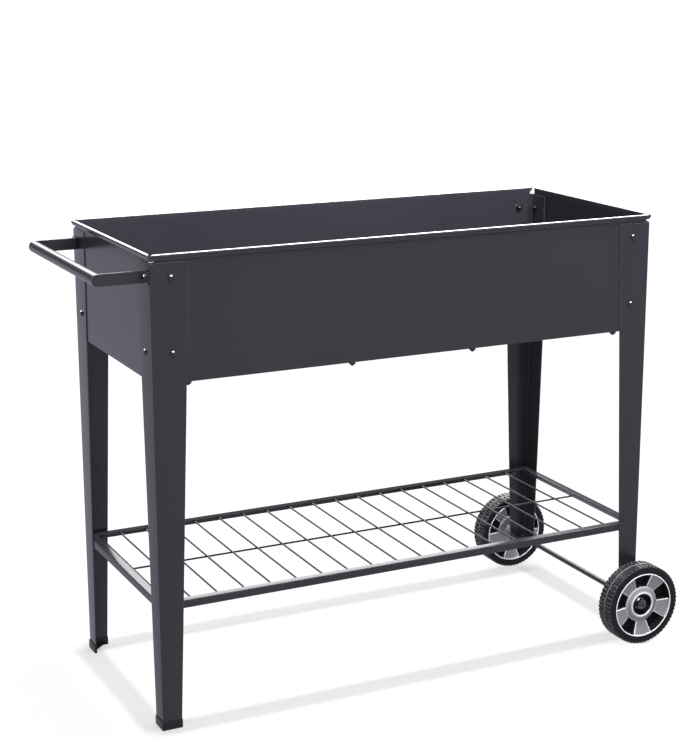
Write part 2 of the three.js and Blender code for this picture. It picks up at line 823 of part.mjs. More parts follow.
for (const [place, sideY] of [['front', -1], ['rear', 1]]) {
  const wheel = new THREE.Group();
  wheel.position.set(axleX, sideY * legY, wheelRadius);
  wheel.rotation.x = -sideY * quarterTurn;
  frame.add(wheel);
  const top = sideY < 0 ? quarterTurn : -quarterTurn;
  const spin = [0, 0, top - THREE.MathUtils.degToRad(spokePhase) + facetAngle * (spokeSteps / 2)];
  addPart(`tyre_${place}`, tyreGeometry, blackRubber, [0, 0, 0], [0, 0, 0], wheel);
  addPart(`wheel_hub_${place}`, hubGeometry, greyPlastic, [0, 0, 0], spin, wheel);
  const still = [0, 0, 0];
  addPart(`inner_washer_${place}`, washerGeometry, blackSteel, [0, 0, seat], still, wheel);
  const outer = [0, 0, outerWasherStart];
  addPart(`outer_washer_${place}`, washerGeometry, blackSteel, outer, still, wheel);
  addPart(`axle_nut_${place}`, axleNutGeometry, blackSteel, still, still, wheel);
}

const handleEnd = gripX - gripDiameter / 2;
const wheelEnd = axleX + wheelRadius;
frame.position.x = -(handleEnd + wheelEnd) / 2;

export default planter;
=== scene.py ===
# %% [markdown]
# # A rolling planter, piece by piece
#
# The real object is folded from thin painted steel: a trough on four tapered legs, with a wire
# shelf, a tube to push it by, and two moulded wheels on a steel axle. The engineering model is
# loaded first and never changed. Each piece below stands where its solid stands, and adds what
# a plain solid lacks: rounded folds, softened edges, tread, threads and paint.

# %% Load the fixed frame
import math
import bmesh
import bpy
from mathutils import Matrix, Vector


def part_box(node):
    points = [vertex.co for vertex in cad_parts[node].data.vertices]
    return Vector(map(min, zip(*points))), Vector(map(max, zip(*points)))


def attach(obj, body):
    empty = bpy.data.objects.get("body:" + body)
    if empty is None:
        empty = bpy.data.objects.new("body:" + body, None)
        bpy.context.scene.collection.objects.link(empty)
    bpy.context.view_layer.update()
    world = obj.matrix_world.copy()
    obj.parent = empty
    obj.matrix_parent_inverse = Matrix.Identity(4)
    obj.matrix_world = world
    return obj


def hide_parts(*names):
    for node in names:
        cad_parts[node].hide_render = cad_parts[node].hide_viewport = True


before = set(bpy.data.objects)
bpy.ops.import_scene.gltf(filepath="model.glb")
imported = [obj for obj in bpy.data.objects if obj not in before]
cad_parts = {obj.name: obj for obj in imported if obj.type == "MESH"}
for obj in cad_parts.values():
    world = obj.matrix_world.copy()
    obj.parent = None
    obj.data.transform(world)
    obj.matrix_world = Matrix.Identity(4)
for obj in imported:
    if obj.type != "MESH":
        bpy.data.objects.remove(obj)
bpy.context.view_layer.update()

# %% [markdown]
# ## Units and the middle of the trough
#
# Sizes are easier to read in millimetres, so they are written that way and turned into metres
# once. Everything but the handle and the wheels is symmetric about the middle of the trough,
# so the pieces are drawn about that middle and moved to it at the end.

# %% Millimetres to metres, and the middle
MM = 0.001
QUARTER = math.pi / 2


def mm(x, y, z=0.0):
    return Vector((x, y, z)) * MM


low, high = (Vector(corner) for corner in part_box("front_panel"))
MIDDLE = Vector(((low.x + high.x) / 2, 0, 0))
print("middle of the trough at x =", round(MIDDLE.x, 4))

# %% [markdown]
# ## Camera
#
# The view follows the photograph: from the left of the front, a little above the rim. The lens
# was found from the stated length, width and height of the trough, and a small shift moves the
# picture sideways, as a cropped photograph does.

# %% Camera
VIEW_TURN, VIEW_DROP, VIEW_TILT = (math.radians(a) for a in (27.085, 14.111, 0.155))
IMAGE_WIDTH, IMAGE_HEIGHT = 679, 741
FOCAL_PIXELS = 1718.9
CENTRE_X, CENTRE_Y = 380.4, 376.0  # where the lens axis meets the picture
CAMERA_PLACE = (-1.3333, -2.6959, 1.2679)

camera_data = bpy.data.cameras.new("camera")
camera = bpy.data.objects.new("camera", camera_data)
bpy.context.scene.collection.objects.link(camera)
forward = Vector((
    math.sin(VIEW_TURN) * math.cos(VIEW_DROP),
    math.cos(VIEW_TURN) * math.cos(VIEW_DROP),
    -math.sin(VIEW_DROP),
))
level = Vector((math.cos(VIEW_TURN), -math.sin(VIEW_TURN), 0))
above = level.cross(forward)
right = level * math.cos(VIEW_TILT) + above * math.sin(VIEW_TILT)
up = above * math.cos(VIEW_TILT) - level * math.sin(VIEW_TILT)
camera.matrix_world = (
    Matrix.Translation(CAMERA_PLACE)
    @ Matrix((right, up, -forward)).transposed().to_4x4()
)
camera_data.lens = FOCAL_PIXELS * camera_data.sensor_width / IMAGE_HEIGHT
camera_data.shift_x = (IMAGE_WIDTH / 2 - CENTRE_X) / IMAGE_HEIGHT
camera_data.shift_y = (CENTRE_Y - IMAGE_HEIGHT / 2) / IMAGE_HEIGHT
bpy.context.scene.camera = camera
print("lens", round(camera_data.lens, 1), "mm, shift", round(camera_data.shift_x, 3))

# %% [markdown]
# ## Floor
#
# The planter stands on a plain white floor that fills the picture. The floor glows a little, and
# more so further away, where less light falls on it: so it stays white to its far end, and near
# the planter it still takes a soft shadow. Painted steel mirrors the floor, and in a studio that
# mirror image is darker than the floor itself, because screens stand round the object. Here the
# reflected rays meet a fixed, slightly blue grey instead.

# %% Floor
FLOOR_SIZE = 120.0
GLOW_RANGE = (0.5, 7.0)  # metres from the planter
GLOW = (0.16, 0.80)
MIRRORED = (0.57, 0.56, 0.68)


def set_inputs(node, values):
    for label, value in values.items():
        node.inputs[label].default_value = value


bm = bmesh.new()
bmesh.ops.create_grid(bm, x_segments=1, y_segments=1, size=FLOOR_SIZE / 2)
floor_mesh = bpy.data.meshes.new("floor")
bm.to_mesh(floor_mesh)
bm.free()
floor = bpy.data.objects.new("floor", floor_mesh)
bpy.context.scene.collection.objects.link(floor)
floor_paint = bpy.data.materials.new("floor_white")
floor_paint.use_nodes = True
tree = floor_paint.node_tree
shader = tree.nodes["Principled BSDF"]
set_inputs(shader, {
    "Base Color": (0.5, 0.5, 0.5, 1), "Roughness": 0.9, "Specular IOR Level": 0.1,
    "Emission Color": (1, 1, 1, 1),
})
place = tree.nodes.new("ShaderNodeTexCoord")
distance = tree.nodes.new("ShaderNodeVectorMath")
distance.operation = "LENGTH"
glow = tree.nodes.new("ShaderNodeMapRange")
glow.interpolation_type = "SMOOTHSTEP"
labels = ("From Min", "From Max", "To Min", "To Max")
set_inputs(glow, dict(zip(labels, GLOW_RANGE + GLOW)))
tree.links.new(place.outputs["Object"], distance.inputs[0])
tree.links.new(distance.outputs["Value"], glow.inputs["Value"])
tree.links.new(glow.outputs["Result"], shader.inputs["Emission Strength"])
mirrored = tree.nodes.new("ShaderNodeEmission")
mirrored.inputs["Color"].default_value = (*MIRRORED, 1)
ray = tree.nodes.new("ShaderNodeLightPath")
choose = tree.nodes.new("ShaderNodeMixShader")
tree.links.new(ray.outputs["Is Glossy Ray"], choose.inputs["Fac"])
tree.links.new(shader.outputs["BSDF"], choose.inputs[1])
tree.links.new(mirrored.outputs["Emission"], choose.inputs[2])
tree.links.new(choose.outputs["Shader"], tree.nodes["Material Output"].inputs["Surface"])
floor_mesh.materials.append(floor_paint)
print("floor:", FLOOR_SIZE, "m square")

# %% [markdown]
# ## Light
#
# The world gives an even fill, and mirrors as a darker studio. A lamp high over the planter
# throws a soft shadow on the floor, of the shelf's rails and the handle alone. The other lamps
# light the planter and not the floor. Each does one job: a fill gives no mirror image, and a
# panel that is there to be mirrored gives no other light. So the walls stay dark while every
# rim, rail and tube that faces up takes a bright line. What a lamp lights, and what blocks it,
# are collections, whose members are either left out or the only ones. The walls, the inside of
# the rear wall, the bolts and the tyres have lamps of their own. The collections fill up later.

# %% World
WORLD_STRENGTH, WORLD_MIRRORED, WORLD_SEEN = 0.5, 0.16, 1.0

world = bpy.data.worlds.new("studio")
bpy.context.scene.world = world
world.use_nodes = True
tree = world.node_tree
background = tree.nodes["Background"]
background.inputs["Color"].default_value = (1, 1, 1, 1)
ray = tree.nodes.new("ShaderNodeLightPath")
strength = tree.nodes.new("ShaderNodeMapRange")
set_inputs(strength, {"To Min": WORLD_STRENGTH, "To Max": WORLD_MIRRORED})
tree.links.new(ray.outputs["Is Glossy Ray"], strength.inputs["Value"])
seen = tree.nodes.new("ShaderNodeMapRange")
seen.inputs["To Max"].default_value = WORLD_SEEN
tree.links.new(ray.outputs["Is Camera Ray"], seen.inputs["Value"])
tree.links.new(strength.outputs["Result"], seen.inputs["To Min"])
tree.links.new(seen.outputs["Result"], background.inputs["Strength"])
bpy.context.scene.view_settings.view_transform = "Standard"
print("world:", world.name)

# %% Lamps
LIT_PLACE = Vector((0, 0, 0.6))  # the trough, which every lamp faces

no_lamps, no_shadow, walls_alone, rear_wall_alone, bolts_alone, tyres_alone = (
    bpy.data.collections.new(name) for name in (
        "no_lamps", "no_shadow", "walls_alone", "rear_wall_alone", "bolts_alone", "tyres_alone",
    )
)
no_lamps.objects.link(floor)


def soft_light(name, place, size, power, fills=True, mirrors=True, on=no_lamps):
    """A soft light that faces the trough and lights a collection, or everything with on=None."""
    data = bpy.data.lights.new(name, "AREA")
    data.shape = "RECTANGLE"
    data.size, data.size_y = size
    data.energy = power
    lamp = bpy.data.objects.new(name, data)
    bpy.context.scene.collection.objects.link(lamp)
    facing = (Vector(place) - LIT_PLACE).to_track_quat("Z", "Y").to_matrix().to_4x4()
    lamp.matrix_world = Matrix.Translation(place) @ facing
    lamp.visible_camera = False
    lamp.visible_diffuse = fills
    lamp.visible_glossy = mirrors
    lamp.light_linking.receiver_collection = on
    return lamp


shadow_lamp = soft_light("over_floor", (0, 0, 6), (1.25, 1.25), 530, mirrors=False, on=None)
shadow_lamp.light_linking.blocker_collection = no_shadow
soft_light("key_high_left", (-2.15, -3.15, 3.75), (1.3, 0.9), 70)
soft_light("fill_above", (0.7, -0.4, 2.6), (2.4, 1.6), 190, mirrors=False)
soft_light("line_behind", (1.45, 5.5, 3.4), (4.9, 2.5), 205, fills=False)
soft_light("line_above", (1.2, 2.4, 4.4), (6.0, 1.4), 600, fills=False)
soft_light("rim_from_behind", (1.45, 5.5, 2.9), (6.5, 3.2), 420, fills=False, on=walls_alone)
soft_light("rim_from_above", (1.6, 1.2, 4.2), (2.6, 4.0), 1500, fills=False, on=walls_alone)
soft_light("fill_inside", (0.3, -2.6, 2.4), (1.6, 1.0), 170, mirrors=False, on=rear_wall_alone)
soft_light("glint_in_front", (1.0, -4.2, 3.6), (3.6, 3.0), 1600, fills=False, on=bolts_alone)
soft_light("glint_at_left", (-3.9, 2.0, 3.4), (3.0, 3.0), 1300, fills=False, on=bolts_alone)
soft_light("tread_from_behind", (3.2, 5.5, 2.1), (2.8, 2.2), 190, fills=False, on=tyres_alone)

# %% [markdown]
# ## Two effects that the finishes share
#
# Powder paint, moulded plastic and rubber differ in colour and gloss, but all have a fine
# grain, and all get a painted highlight where an edge turns: a lighter colour laid over the
# mask of turned edges. Each effect is one node group with its own sockets, and every finish
# sets its own values.

# %% Node groups
def new_group(name, inputs, outputs):
    """An empty shader group with float inputs and float outputs."""
    group = bpy.data.node_groups.new(name, "ShaderNodeTree")
    for way, labels in (("INPUT", inputs), ("OUTPUT", outputs)):
        for label in labels:
            group.interface.new_socket(label, in_out=way, socket_type="NodeSocketFloat")
    return group, group.nodes.new("NodeGroupInput"), group.nodes.new("NodeGroupOutput")


def math_node(tree, operation, a, b, clamp=False):
    """A maths node whose inputs are sockets or numbers."""
    node = tree.nodes.new("ShaderNodeMath")
    node.operation = operation
    node.use_clamp = clamp
    for slot, value in zip(node.inputs, (a, b)):
        if isinstance(value, (int, float)):
            slot.default_value = value
        else:
            tree.links.new(value, slot)
    return node.outputs[0]


def edge_group():
    """Mask that is 1 on a turned edge and 0 on a flat: the rounded normal against the true one."""
    group, inside, outside = new_group("turned_edges", ["Radius", "Gain"], ["Mask"])
    rounded = group.nodes.new("ShaderNodeBevel")
    rounded.samples = 4
    group.links.new(inside.outputs["Radius"], rounded.inputs["Radius"])
    true = group.nodes.new("ShaderNodeNewGeometry")
    match = group.nodes.new("ShaderNodeVectorMath")
    match.operation = "DOT_PRODUCT"
    group.links.new(rounded.outputs["Normal"], match.inputs[0])
    group.links.new(true.outputs["Normal"], match.inputs[1])
    turn = math_node(group, "SUBTRACT", 1.0, match.outputs["Value"])
    mask = math_node(group, "MULTIPLY", turn, inside.outputs["Gain"], clamp=True)
    group.links.new(mask, outside.inputs["Mask"])
    return group


def grain_group():
    """Fine grain for bump, and slow clouds for tone and gloss, both in object space."""
    group, inside, outside = new_group("surface_grain", ["Grain", "Clouds"], ["Height", "Cloud"])
    place = group.nodes.new("ShaderNodeTexCoord")
    for size, label, detail in (("Grain", "Height", 2.0), ("Clouds", "Cloud", 4.0)):
        noise = group.nodes.new("ShaderNodeTexNoise")
        noise.inputs["Detail"].default_value = detail
        group.links.new(place.outputs["Object"], noise.inputs["Vector"])
        group.links.new(inside.outputs[size], noise.inputs["Scale"])
        group.links.new(noise.outputs["Fac"], outside.inputs[label])
    return group


EDGES = edge_group()
GRAIN = grain_group()
print("groups:", EDGES.name, GRAIN.name)

# %% [markdown]
# ## Finishes
#
# The steel has a charcoal powder coat, slightly blue and half glossy, and the wires a darker
# one. The bolts and the axle are black plated steel, the washers and the nuts of the axle
# bright steel. The tyres and the foot caps are black but dull, and the ring round the middle
# of the tread takes a painted highlight, a lighter grey. The hubs are satin grey plastic with
# light rings, painted highlights on the spokes' edges, the socket's lip and the plate's rim,
# and black windows, whose black is black plastic and painted shade. One function builds them
# all: a base colour that wanders a little, a painted highlight on turned edges, a gloss that
# wanders, and a bump from the grain.

# %% Finish builder
CLOUD_SCALE = 6.0


def colour_mix(tree, mask, dark, light):
    """Mixes two colours by a mask socket."""
    mix = tree.nodes.new("ShaderNodeMix")
    mix.data_type = "RGBA"
    tree.links.new(mask, mix.inputs["Factor"])
    for socket, value in ((mix.inputs[6], dark), (mix.inputs[7], light)):
        if isinstance(value, tuple):
            socket.default_value = (*value, 1)
        else:
            tree.links.new(value, socket)
    return mix.outputs[2]


def finish(name, colours, gloss, grain, depth, edge, gain=2.5, metal=0.0, shine=0.5):
    """A procedural finish. gloss is the lowest and highest roughness, depth the bump in metres. The
    third colour is a painted highlight on turned edges: edge is its radius in millimetres, gain its
    strength.
    """
    colour, cloud_colour, highlight_colour = colours
    material = bpy.data.materials.new(name)
    material.use_nodes = True
    tree = material.node_tree
    shader = tree.nodes["Principled BSDF"]
    set_inputs(shader, {"Metallic": metal, "Specular IOR Level": shine})
    texture = tree.nodes.new("ShaderNodeGroup")
    texture.node_tree = GRAIN
    set_inputs(texture, {"Grain": grain, "Clouds": CLOUD_SCALE})
    edges = tree.nodes.new("ShaderNodeGroup")
    edges.node_tree = EDGES
    set_inputs(edges, {"Radius": edge * MM, "Gain": gain})
    body_colour = colour_mix(tree, texture.outputs["Cloud"], colour, cloud_colour)
    # The third colour is a painted highlight, laid on turned edges through the edge mask.
    with_painted_highlight = colour_mix(tree, edges.outputs["Mask"], body_colour, highlight_colour)
    tree.links.new(with_painted_highlight, shader.inputs["Base Color"])
    wander = math_node(tree, "MULTIPLY", texture.outputs["Cloud"], gloss[1] - gloss[0])
    tree.links.new(math_node(tree, "ADD", wander, gloss[0]), shader.inputs["Roughness"])
    bump = tree.nodes.new("ShaderNodeBump")
    bump.inputs["Distance"].default_value = depth
    tree.links.new(texture.outputs["Height"], bump.inputs["Height"])
    tree.links.new(bump.outputs["Normal"], shader.inputs["Normal"])
    return material


# %% The finishes
# The third colour of each finish is a painted highlight on its turned edges.
CHARCOAL = finish(
    "charcoal_powder_coat", ((0.016, 0.016, 0.0205), (0.021, 0.021, 0.0265), (0.20, 0.20, 0.22)),
    gloss=(0.18, 0.26), grain=650, depth=0.00002, edge=1.0, shine=0.40,
)
BLACK_STEEL = finish(
    "black_plated_steel", ((0.008, 0.008, 0.009), (0.014, 0.014, 0.015), (0.06, 0.06, 0.065)),
    gloss=(0.14, 0.24), grain=900, depth=0.00002, edge=0.4, shine=0.6,
)
BRIGHT_STEEL = finish(
    "dark_bright_steel", ((0.14, 0.14, 0.145), (0.18, 0.18, 0.185), (0.40, 0.40, 0.41)),
    gloss=(0.12, 0.20), grain=900, depth=0.00002, edge=0.4, metal=1.0,
)
WIRE_PAINT = finish(
    "charcoal_wire_coat", ((0.006, 0.006, 0.008), (0.010, 0.010, 0.013), (0.02, 0.02, 0.024)),
    gloss=(0.22, 0.30), grain=650, depth=0.00002, edge=0.3, shine=0.3,
)
# A painted highlight: a lighter grey on the ring round the middle of the tread.
TREAD_HIGHLIGHT = finish(
    "tyre_middle_line_painted_highlight", ((0.09, 0.09, 0.095), (0.12, 0.12, 0.125), (0.20, 0.20, 0.21)),
    gloss=(0.34, 0.46), grain=1100, depth=0.00004, edge=0.4, shine=0.3,
)
RUBBER = finish(
    "black_tyre", ((0.006, 0.006, 0.008), (0.010, 0.010, 0.013), (0.42, 0.42, 0.44)),
    gloss=(0.34, 0.46), grain=1100, depth=0.00008, edge=0.7, gain=2.0, shine=0.14,
)
BLACK_PLASTIC = finish(
    "black_foot_plastic", ((0.008, 0.008, 0.009), (0.012, 0.012, 0.013), (0.05, 0.05, 0.052)),
    gloss=(0.34, 0.46), grain=1000, depth=0.00008, edge=0.6, shine=0.3,
)
GREY_PLASTIC = finish(
    "grey_hub_plastic", ((0.145, 0.141, 0.159), (0.192, 0.187, 0.207), (0.74, 0.74, 0.77)),
    gloss=(0.30, 0.42), grain=1100, depth=0.00006, edge=1.2, gain=4.0,
)
# The light front of a hub's ring, and a painted highlight on the edges of its spokes.
LIGHT_RING_AND_HIGHLIGHT = finish(
    "light_hub_ring_and_painted_highlight", ((0.72, 0.72, 0.75), (0.80, 0.80, 0.83), (0.92, 0.92, 0.94)),
    gloss=(0.25, 0.32), grain=1100, depth=0.00003, edge=0.6,
)
# A painted highlight on the socket's lip and the plate's rim of a hub.
HUB_HIGHLIGHT = finish(
    "painted_hub_highlight", ((0.42, 0.42, 0.45), (0.48, 0.48, 0.51), (0.85, 0.85, 0.88)),
    gloss=(0.25, 0.32), grain=1100, depth=0.00003, edge=0.6,
)
# Black plastic and painted shade, for the pockets and the socket of a hub.
WINDOW_BLACK_AND_SHADE = finish(
    "hub_window_black_and_painted_shade", ((0.005, 0.005, 0.006), (0.008, 0.008, 0.009), (0.012, 0.012, 0.013)),
    gloss=(0.5, 0.65), grain=1100, depth=0.00006, edge=0.3, shine=0.15,
)
print("finishes:", [m.name for m in bpy.data.materials if "_" in m.name])

# %% [markdown]
# ## Turning a mesh into a piece
#
# A finished piece has its place in its mesh, so its object stays at the origin. It rides on a
# body of the model, and stands for one of its solids, which it hides.
# A narrow bevel takes the knife edge off: sheet metal with thick paint has no sharp corner.
# `lamps` names the collections of lamps that the piece joins.

# %% Piece helper
PLANTER = "planter"


def piece(bm, name, paint, slot, *nodes, body=PLANTER, soft=0, smooth=38, lamps=()):
    """Moves a bmesh to its place, makes it an object and gives it to the frame."""
    bmesh.ops.translate(bm, verts=bm.verts[:], vec=MIDDLE)
    mesh = bpy.data.meshes.new(name)
    bm.to_mesh(mesh)
    bm.free()
    for one in paint if isinstance(paint, tuple) else (paint,):
        mesh.materials.append(one)
    mesh.shade_smooth()
    mesh.set_sharp_from_angle(angle=math.radians(smooth))
    made = bpy.data.objects.new(name, mesh)
    bpy.context.scene.collection.objects.link(made)
    if soft:
        bevel = made.modifiers.new("softened edges", "BEVEL")
        bevel.limit_method = "ANGLE"
        bevel.angle_limit = math.radians(smooth)
        bevel.width = soft * MM
        bevel.segments = 2
        bevel.harden_normals = True
    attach(made, body)
    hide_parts(*nodes)
    for collection in lamps:
        collection.objects.link(made)
    return made


# %% [markdown]
# ## Moves that the pieces share
#
# Each move has a name here and takes millimetres: turning, moving and mirroring a mesh,
# rounding an edge, pushing a face out and spinning an outline.

# %% Mesh helpers
NEAR, TOUCHING = 1e-6, 1e-7  # metres: the same place, and the same point


def vertices(geometry):
    return [g for g in geometry if isinstance(g, bmesh.types.BMVert)]


def everything(bm):
    return bm.verts[:] + bm.edges[:] + bm.faces[:]


def turn_out(bm):
    bmesh.ops.recalc_face_normals(bm, faces=bm.faces[:])


def clean(bm):
    """Merges doubles and turns every face outwards."""
    bmesh.ops.remove_doubles(bm, verts=bm.verts[:], dist=NEAR)
    turn_out(bm)


def turned(bm, angle, axis="Z", verts=None):
    """Turns a mesh, or some of its vertices, about the origin."""
    verts = bm.verts[:] if verts is None else verts
    bmesh.ops.rotate(bm, verts=verts, cent=(0, 0, 0), matrix=Matrix.Rotation(angle, 3, axis))


def moved(bm, x, y, z=0, verts=None):
    """Moves a mesh, or some of its vertices."""
    bmesh.ops.translate(bm, verts=bm.verts[:] if verts is None else verts, vec=mm(x, y, z))


def flipped(bm, x, y):
    bmesh.ops.scale(bm, verts=bm.verts[:], vec=(x, y, 1))
    turn_out(bm)


def bevelled(bm, parts, width, steps, affect="EDGES"):
    return bmesh.ops.bevel(
        bm, geom=parts, offset=width * MM, offset_type="OFFSET", segments=steps, profile=0.5,
        affect=affect, material=-1,
    )


def extruded(bm, parts, x, y, z=0):
    """Pushes edges or faces out. Returns the new vertices."""
    if isinstance(parts[0], bmesh.types.BMEdge):
        made = bmesh.ops.extrude_edge_only(bm, edges=parts)
    else:
        made = bmesh.ops.extrude_face_region(bm, geom=parts)
    ends = vertices(made["geom"])
    moved(bm, x, y, z, verts=ends)
    return ends


def spun(bm, outline, steps):
    """Spins a line of (radius, height) points once round Z and closes it. Returns its vertices."""
    line = [bm.verts.new(mm(radius, 0, height)) for radius, height in outline]
    edges = [bm.edges.new(pair) for pair in zip(line, line[1:])]
    before = set(bm.verts)
    bmesh.ops.spin(
        bm, geom=line + edges, cent=(0, 0, 0), axis=(0, 0, 1), angle=2 * math.pi,
        steps=steps, use_merge=True,
    )
    made = [v for v in bm.verts if v not in before] + line
    on_axis = [v for v in made if v.is_valid and v.co.xy.length < TOUCHING]
    bmesh.ops.remove_doubles(bm, verts=on_axis, dist=TOUCHING)
    return [v for v in made if v.is_valid]


def ring(bm, inner, radius, start, end, edge, steps):
    """Spins a ring whose outer corners are cut, or a rod where inner is 0."""
    outline = [
        (inner, start), (radius - edge, start), (radius, start + edge),
        (radius, end - edge), (radius - edge, end), (inner, end),
    ]
    if inner:
        outline.append(outline[0])
    return spun(bm, outline, steps)


print("helpers ready, merging below", NEAR, "m")

# %% [markdown]
# ## Folding sheet metal
#
# A press brake bends a flat blank along straight lines. The same three moves make the piece
# here: draw the section as a line, push it along its length, and round the fold edges with a
# bevel. The ends are then cut with planes, and the sheet gets its thickness last, so every
# fold keeps the same wall.

# %% Fold, trim and thicken
FOLD_STEPS = 5


def fold(points, start, end, runs):
    """Pushes a line of (y, z) points along X. runs say how far each fold's rounding reaches."""
    bm = bmesh.new()
    line = [bm.verts.new(mm(start, y, z)) for y, z in points]
    edges = [bm.edges.new(pair) for pair in zip(line, line[1:])]
    extruded(bm, edges, end - start, 0)
    for (y, z), run in zip(points[1:-1], runs):
        corner = mm(0, y, z).yz
        edge = [
            e for e in bm.edges
            if len(e.link_faces) == 2 and all((v.co.yz - corner).length < NEAR for v in e.verts)
        ]
        bevelled(bm, edge, run, FOLD_STEPS)
    return bm


def cut(bm, point, normal):
    """Cuts on a plane and keeps both sides. Returns the plane."""
    point, normal = mm(*point), Vector(normal).normalized()
    bmesh.ops.bisect_plane(bm, geom=everything(bm), dist=TOUCHING, plane_co=point, plane_no=normal)
    return point, normal


def trim(bm, point, normal, where=lambda centre: True):
    """Cuts on a plane and removes what lies beyond it, or only the part that `where` picks."""
    point, normal = cut(bm, point, normal)
    beyond = []
    for face in bm.faces:
        centre = face.calc_center_median()
        if (centre - point).dot(normal) > TOUCHING and where(centre / MM):
            beyond.append(face)
    bmesh.ops.delete(bm, geom=beyond, context="FACES")


def solid(bm, thickness):
    """Gives a sheet its thickness behind its faces."""
    bmesh.ops.solidify(bm, geom=bm.faces[:], thickness=thickness * MM)
    turn_out(bm)


def thicken(bm, thickness):
    """Gives a folded sheet its thickness on the left of the line that it was drawn with."""
    bmesh.ops.reverse_faces(bm, faces=bm.faces[:])
    solid(bm, thickness)


print("fold steps:", FOLD_STEPS)

# %% [markdown]
# ## The trough's walls
#
# Each wall is one folded sheet: a flange below for the bottom plate, the wall, and a rim that
# turns out, down and slightly back under itself. The rim is freed from the corner by a small
# slot and cut to a mitre, and the ends of the long walls turn the corner as tabs inside the
# short walls. A wall is drawn facing +Y and turned to its side.

# %% Walls
SHEET = 1.0
WALL_X, WALL_Y = 470.5, 195.5  # outer faces
RIM_TOP, PLATE_TOP = 800.0, 592.5
LONG_BOTTOM = 590.5
RIM_REACH, RIM_LIP, RIM_RETURN, RIM_TUCK = 4.5, 4.0, 4.0, 1.5
RIM_ROUND = 2.3  # the rim turns down in a wide fold, which catches the light
FLANGE = 20.0
RELIEF_WIDTH, RELIEF_DEPTH, MITRE_GAP = 6.0, 12.0, 1.5
TAB, TAB_GAP = 46.0, 0.3
SIDES = (  # name, turn about Z, and whether it is a long side
    ("rear", 0, True), ("front", math.pi, True),
    ("left", QUARTER, False), ("right", -QUARTER, False),
)


def wall_sheet(facing, far, bottom):
    """Half a wall, from its middle to the end at +X, cut to its corner."""
    lip = facing + RIM_REACH - SHEET
    points = [
        (facing - FLANGE, bottom), (facing, bottom), (facing, RIM_TOP - SHEET),
        (lip, RIM_TOP - SHEET), (lip, RIM_TOP - RIM_LIP),
        (lip - RIM_TUCK, RIM_TOP - RIM_LIP - RIM_RETURN),
    ]
    bm = fold(points, 0, far + RIM_REACH, (2 * SHEET, SHEET / 2, RIM_ROUND, SHEET / 2))
    relief = far - SHEET - RELIEF_WIDTH
    split = RIM_TOP - RELIEF_DEPTH
    slope = (RIM_REACH, -(far + RIM_REACH - MITRE_GAP - relief), 0)
    cut(bm, (0, 0, split), (0, 0, 1))
    trim(bm, (far - SHEET, 0, 0), (1, 0, 0), lambda centre: centre.z < split)
    trim(bm, (relief, facing, 0), slope, lambda centre: centre.z > split and centre.y > facing)
    trim(bm, (relief, 0, 0), (1, 0, 0), lambda centre: centre.z > split and centre.y <= facing)
    trim(
        bm, (far - FLANGE - TAB_GAP, 0, 0), (1, 0, 0),
        lambda centre: centre.y < facing - 2 * SHEET and centre.z < bottom + SHEET,
    )
    return bm


def corner_tab(bm, end):
    """Turns the end of a long wall round the corner."""
    low, high = PLATE_TOP + 2 * SHEET + TAB_GAP, RIM_TOP - RELIEF_DEPTH - SHEET
    for height in (low, high):
        cut(bm, (0, 0, height), (0, 0, 1))
    edge = [
        e for e in bm.edges
        if len(e.link_faces) == 1
        and all(abs(v.co.x - end * MM) < NEAR for v in e.verts)
        and all(low - 0.01 < v.co.z / MM < high + 0.01 for v in e.verts)
    ]
    extruded(bm, edge, 0, -TAB)
    bevelled(bm, edge, 2 * SHEET, FOLD_STEPS)


def wall(side, turn, facing, far, bottom, tab):
    bm = wall_sheet(facing, far, bottom)
    if tab:
        corner_tab(bm, far - SHEET)
    bmesh.ops.mirror(bm, geom=everything(bm), axis="X", merge_dist=NEAR)
    clean(bm)
    if max(bm.faces, key=lambda face: face.calc_area()).normal.y < 0:
        bmesh.ops.reverse_faces(bm, faces=bm.faces[:])
    solid(bm, SHEET)
    turned(bm, turn)
    return piece(
        bm, f"{side}_wall", CHARCOAL, "charcoal_paint", f"{side}_panel", soft=0.2,
        lamps=(no_shadow, walls_alone),
    )


trough = []
for side, turn, is_long in SIDES:
    sizes = (WALL_Y, WALL_X, LONG_BOTTOM) if is_long else (WALL_X, WALL_Y, PLATE_TOP)
    trough.append(wall(side, turn, *sizes, tab=is_long))
rear_wall_alone.objects.link(trough[0])
print("walls:", [(o.name, len(o.data.polygons)) for o in trough])

# %% [markdown]
# ## The bottom plate
#
# A flat sheet lies on the flanges of the walls, with two rows of drain holes. A plate with
# holes needs no boolean: one fill between its outline and the circles makes the face, and an
# extrusion gives it its thickness.

# %% Bottom plate
PLATE_X, PLATE_Y = 468.0, 193.0
DRAIN_RADIUS, DRAIN_PITCH_X, DRAIN_PITCH_Y = 4.5, 140.0, 150.0
PLATE_UNDERSIDE = PLATE_TOP - SHEET

bm = bmesh.new()
corners = [
    bm.verts.new(mm(x * PLATE_X, y * PLATE_Y, PLATE_UNDERSIDE))
    for x, y in ((-1, -1), (1, -1), (1, 1), (-1, 1))
]
for pair in zip(corners, corners[1:] + corners[:1]):
    bm.edges.new(pair)
for column in (-2.5, -1.5, -0.5, 0.5, 1.5, 2.5):
    for row in (-0.5, 0.5):
        centre = mm(column * DRAIN_PITCH_X, row * DRAIN_PITCH_Y, PLATE_UNDERSIDE)
        place = Matrix.Translation(centre)
        bmesh.ops.create_circle(bm, segments=24, radius=DRAIN_RADIUS * MM, matrix=place)
bmesh.ops.triangle_fill(bm, use_beauty=True, use_dissolve=False, edges=bm.edges[:])
extruded(bm, bm.faces[:], 0, 0, SHEET)
clean(bm)
plate = piece(
    bm, "bottom_plate", CHARCOAL, "charcoal_paint", "bottom_panel", soft=0.2,
    lamps=(no_shadow, no_lamps),
)
print("bottom plate:", len(plate.data.polygons), "faces")

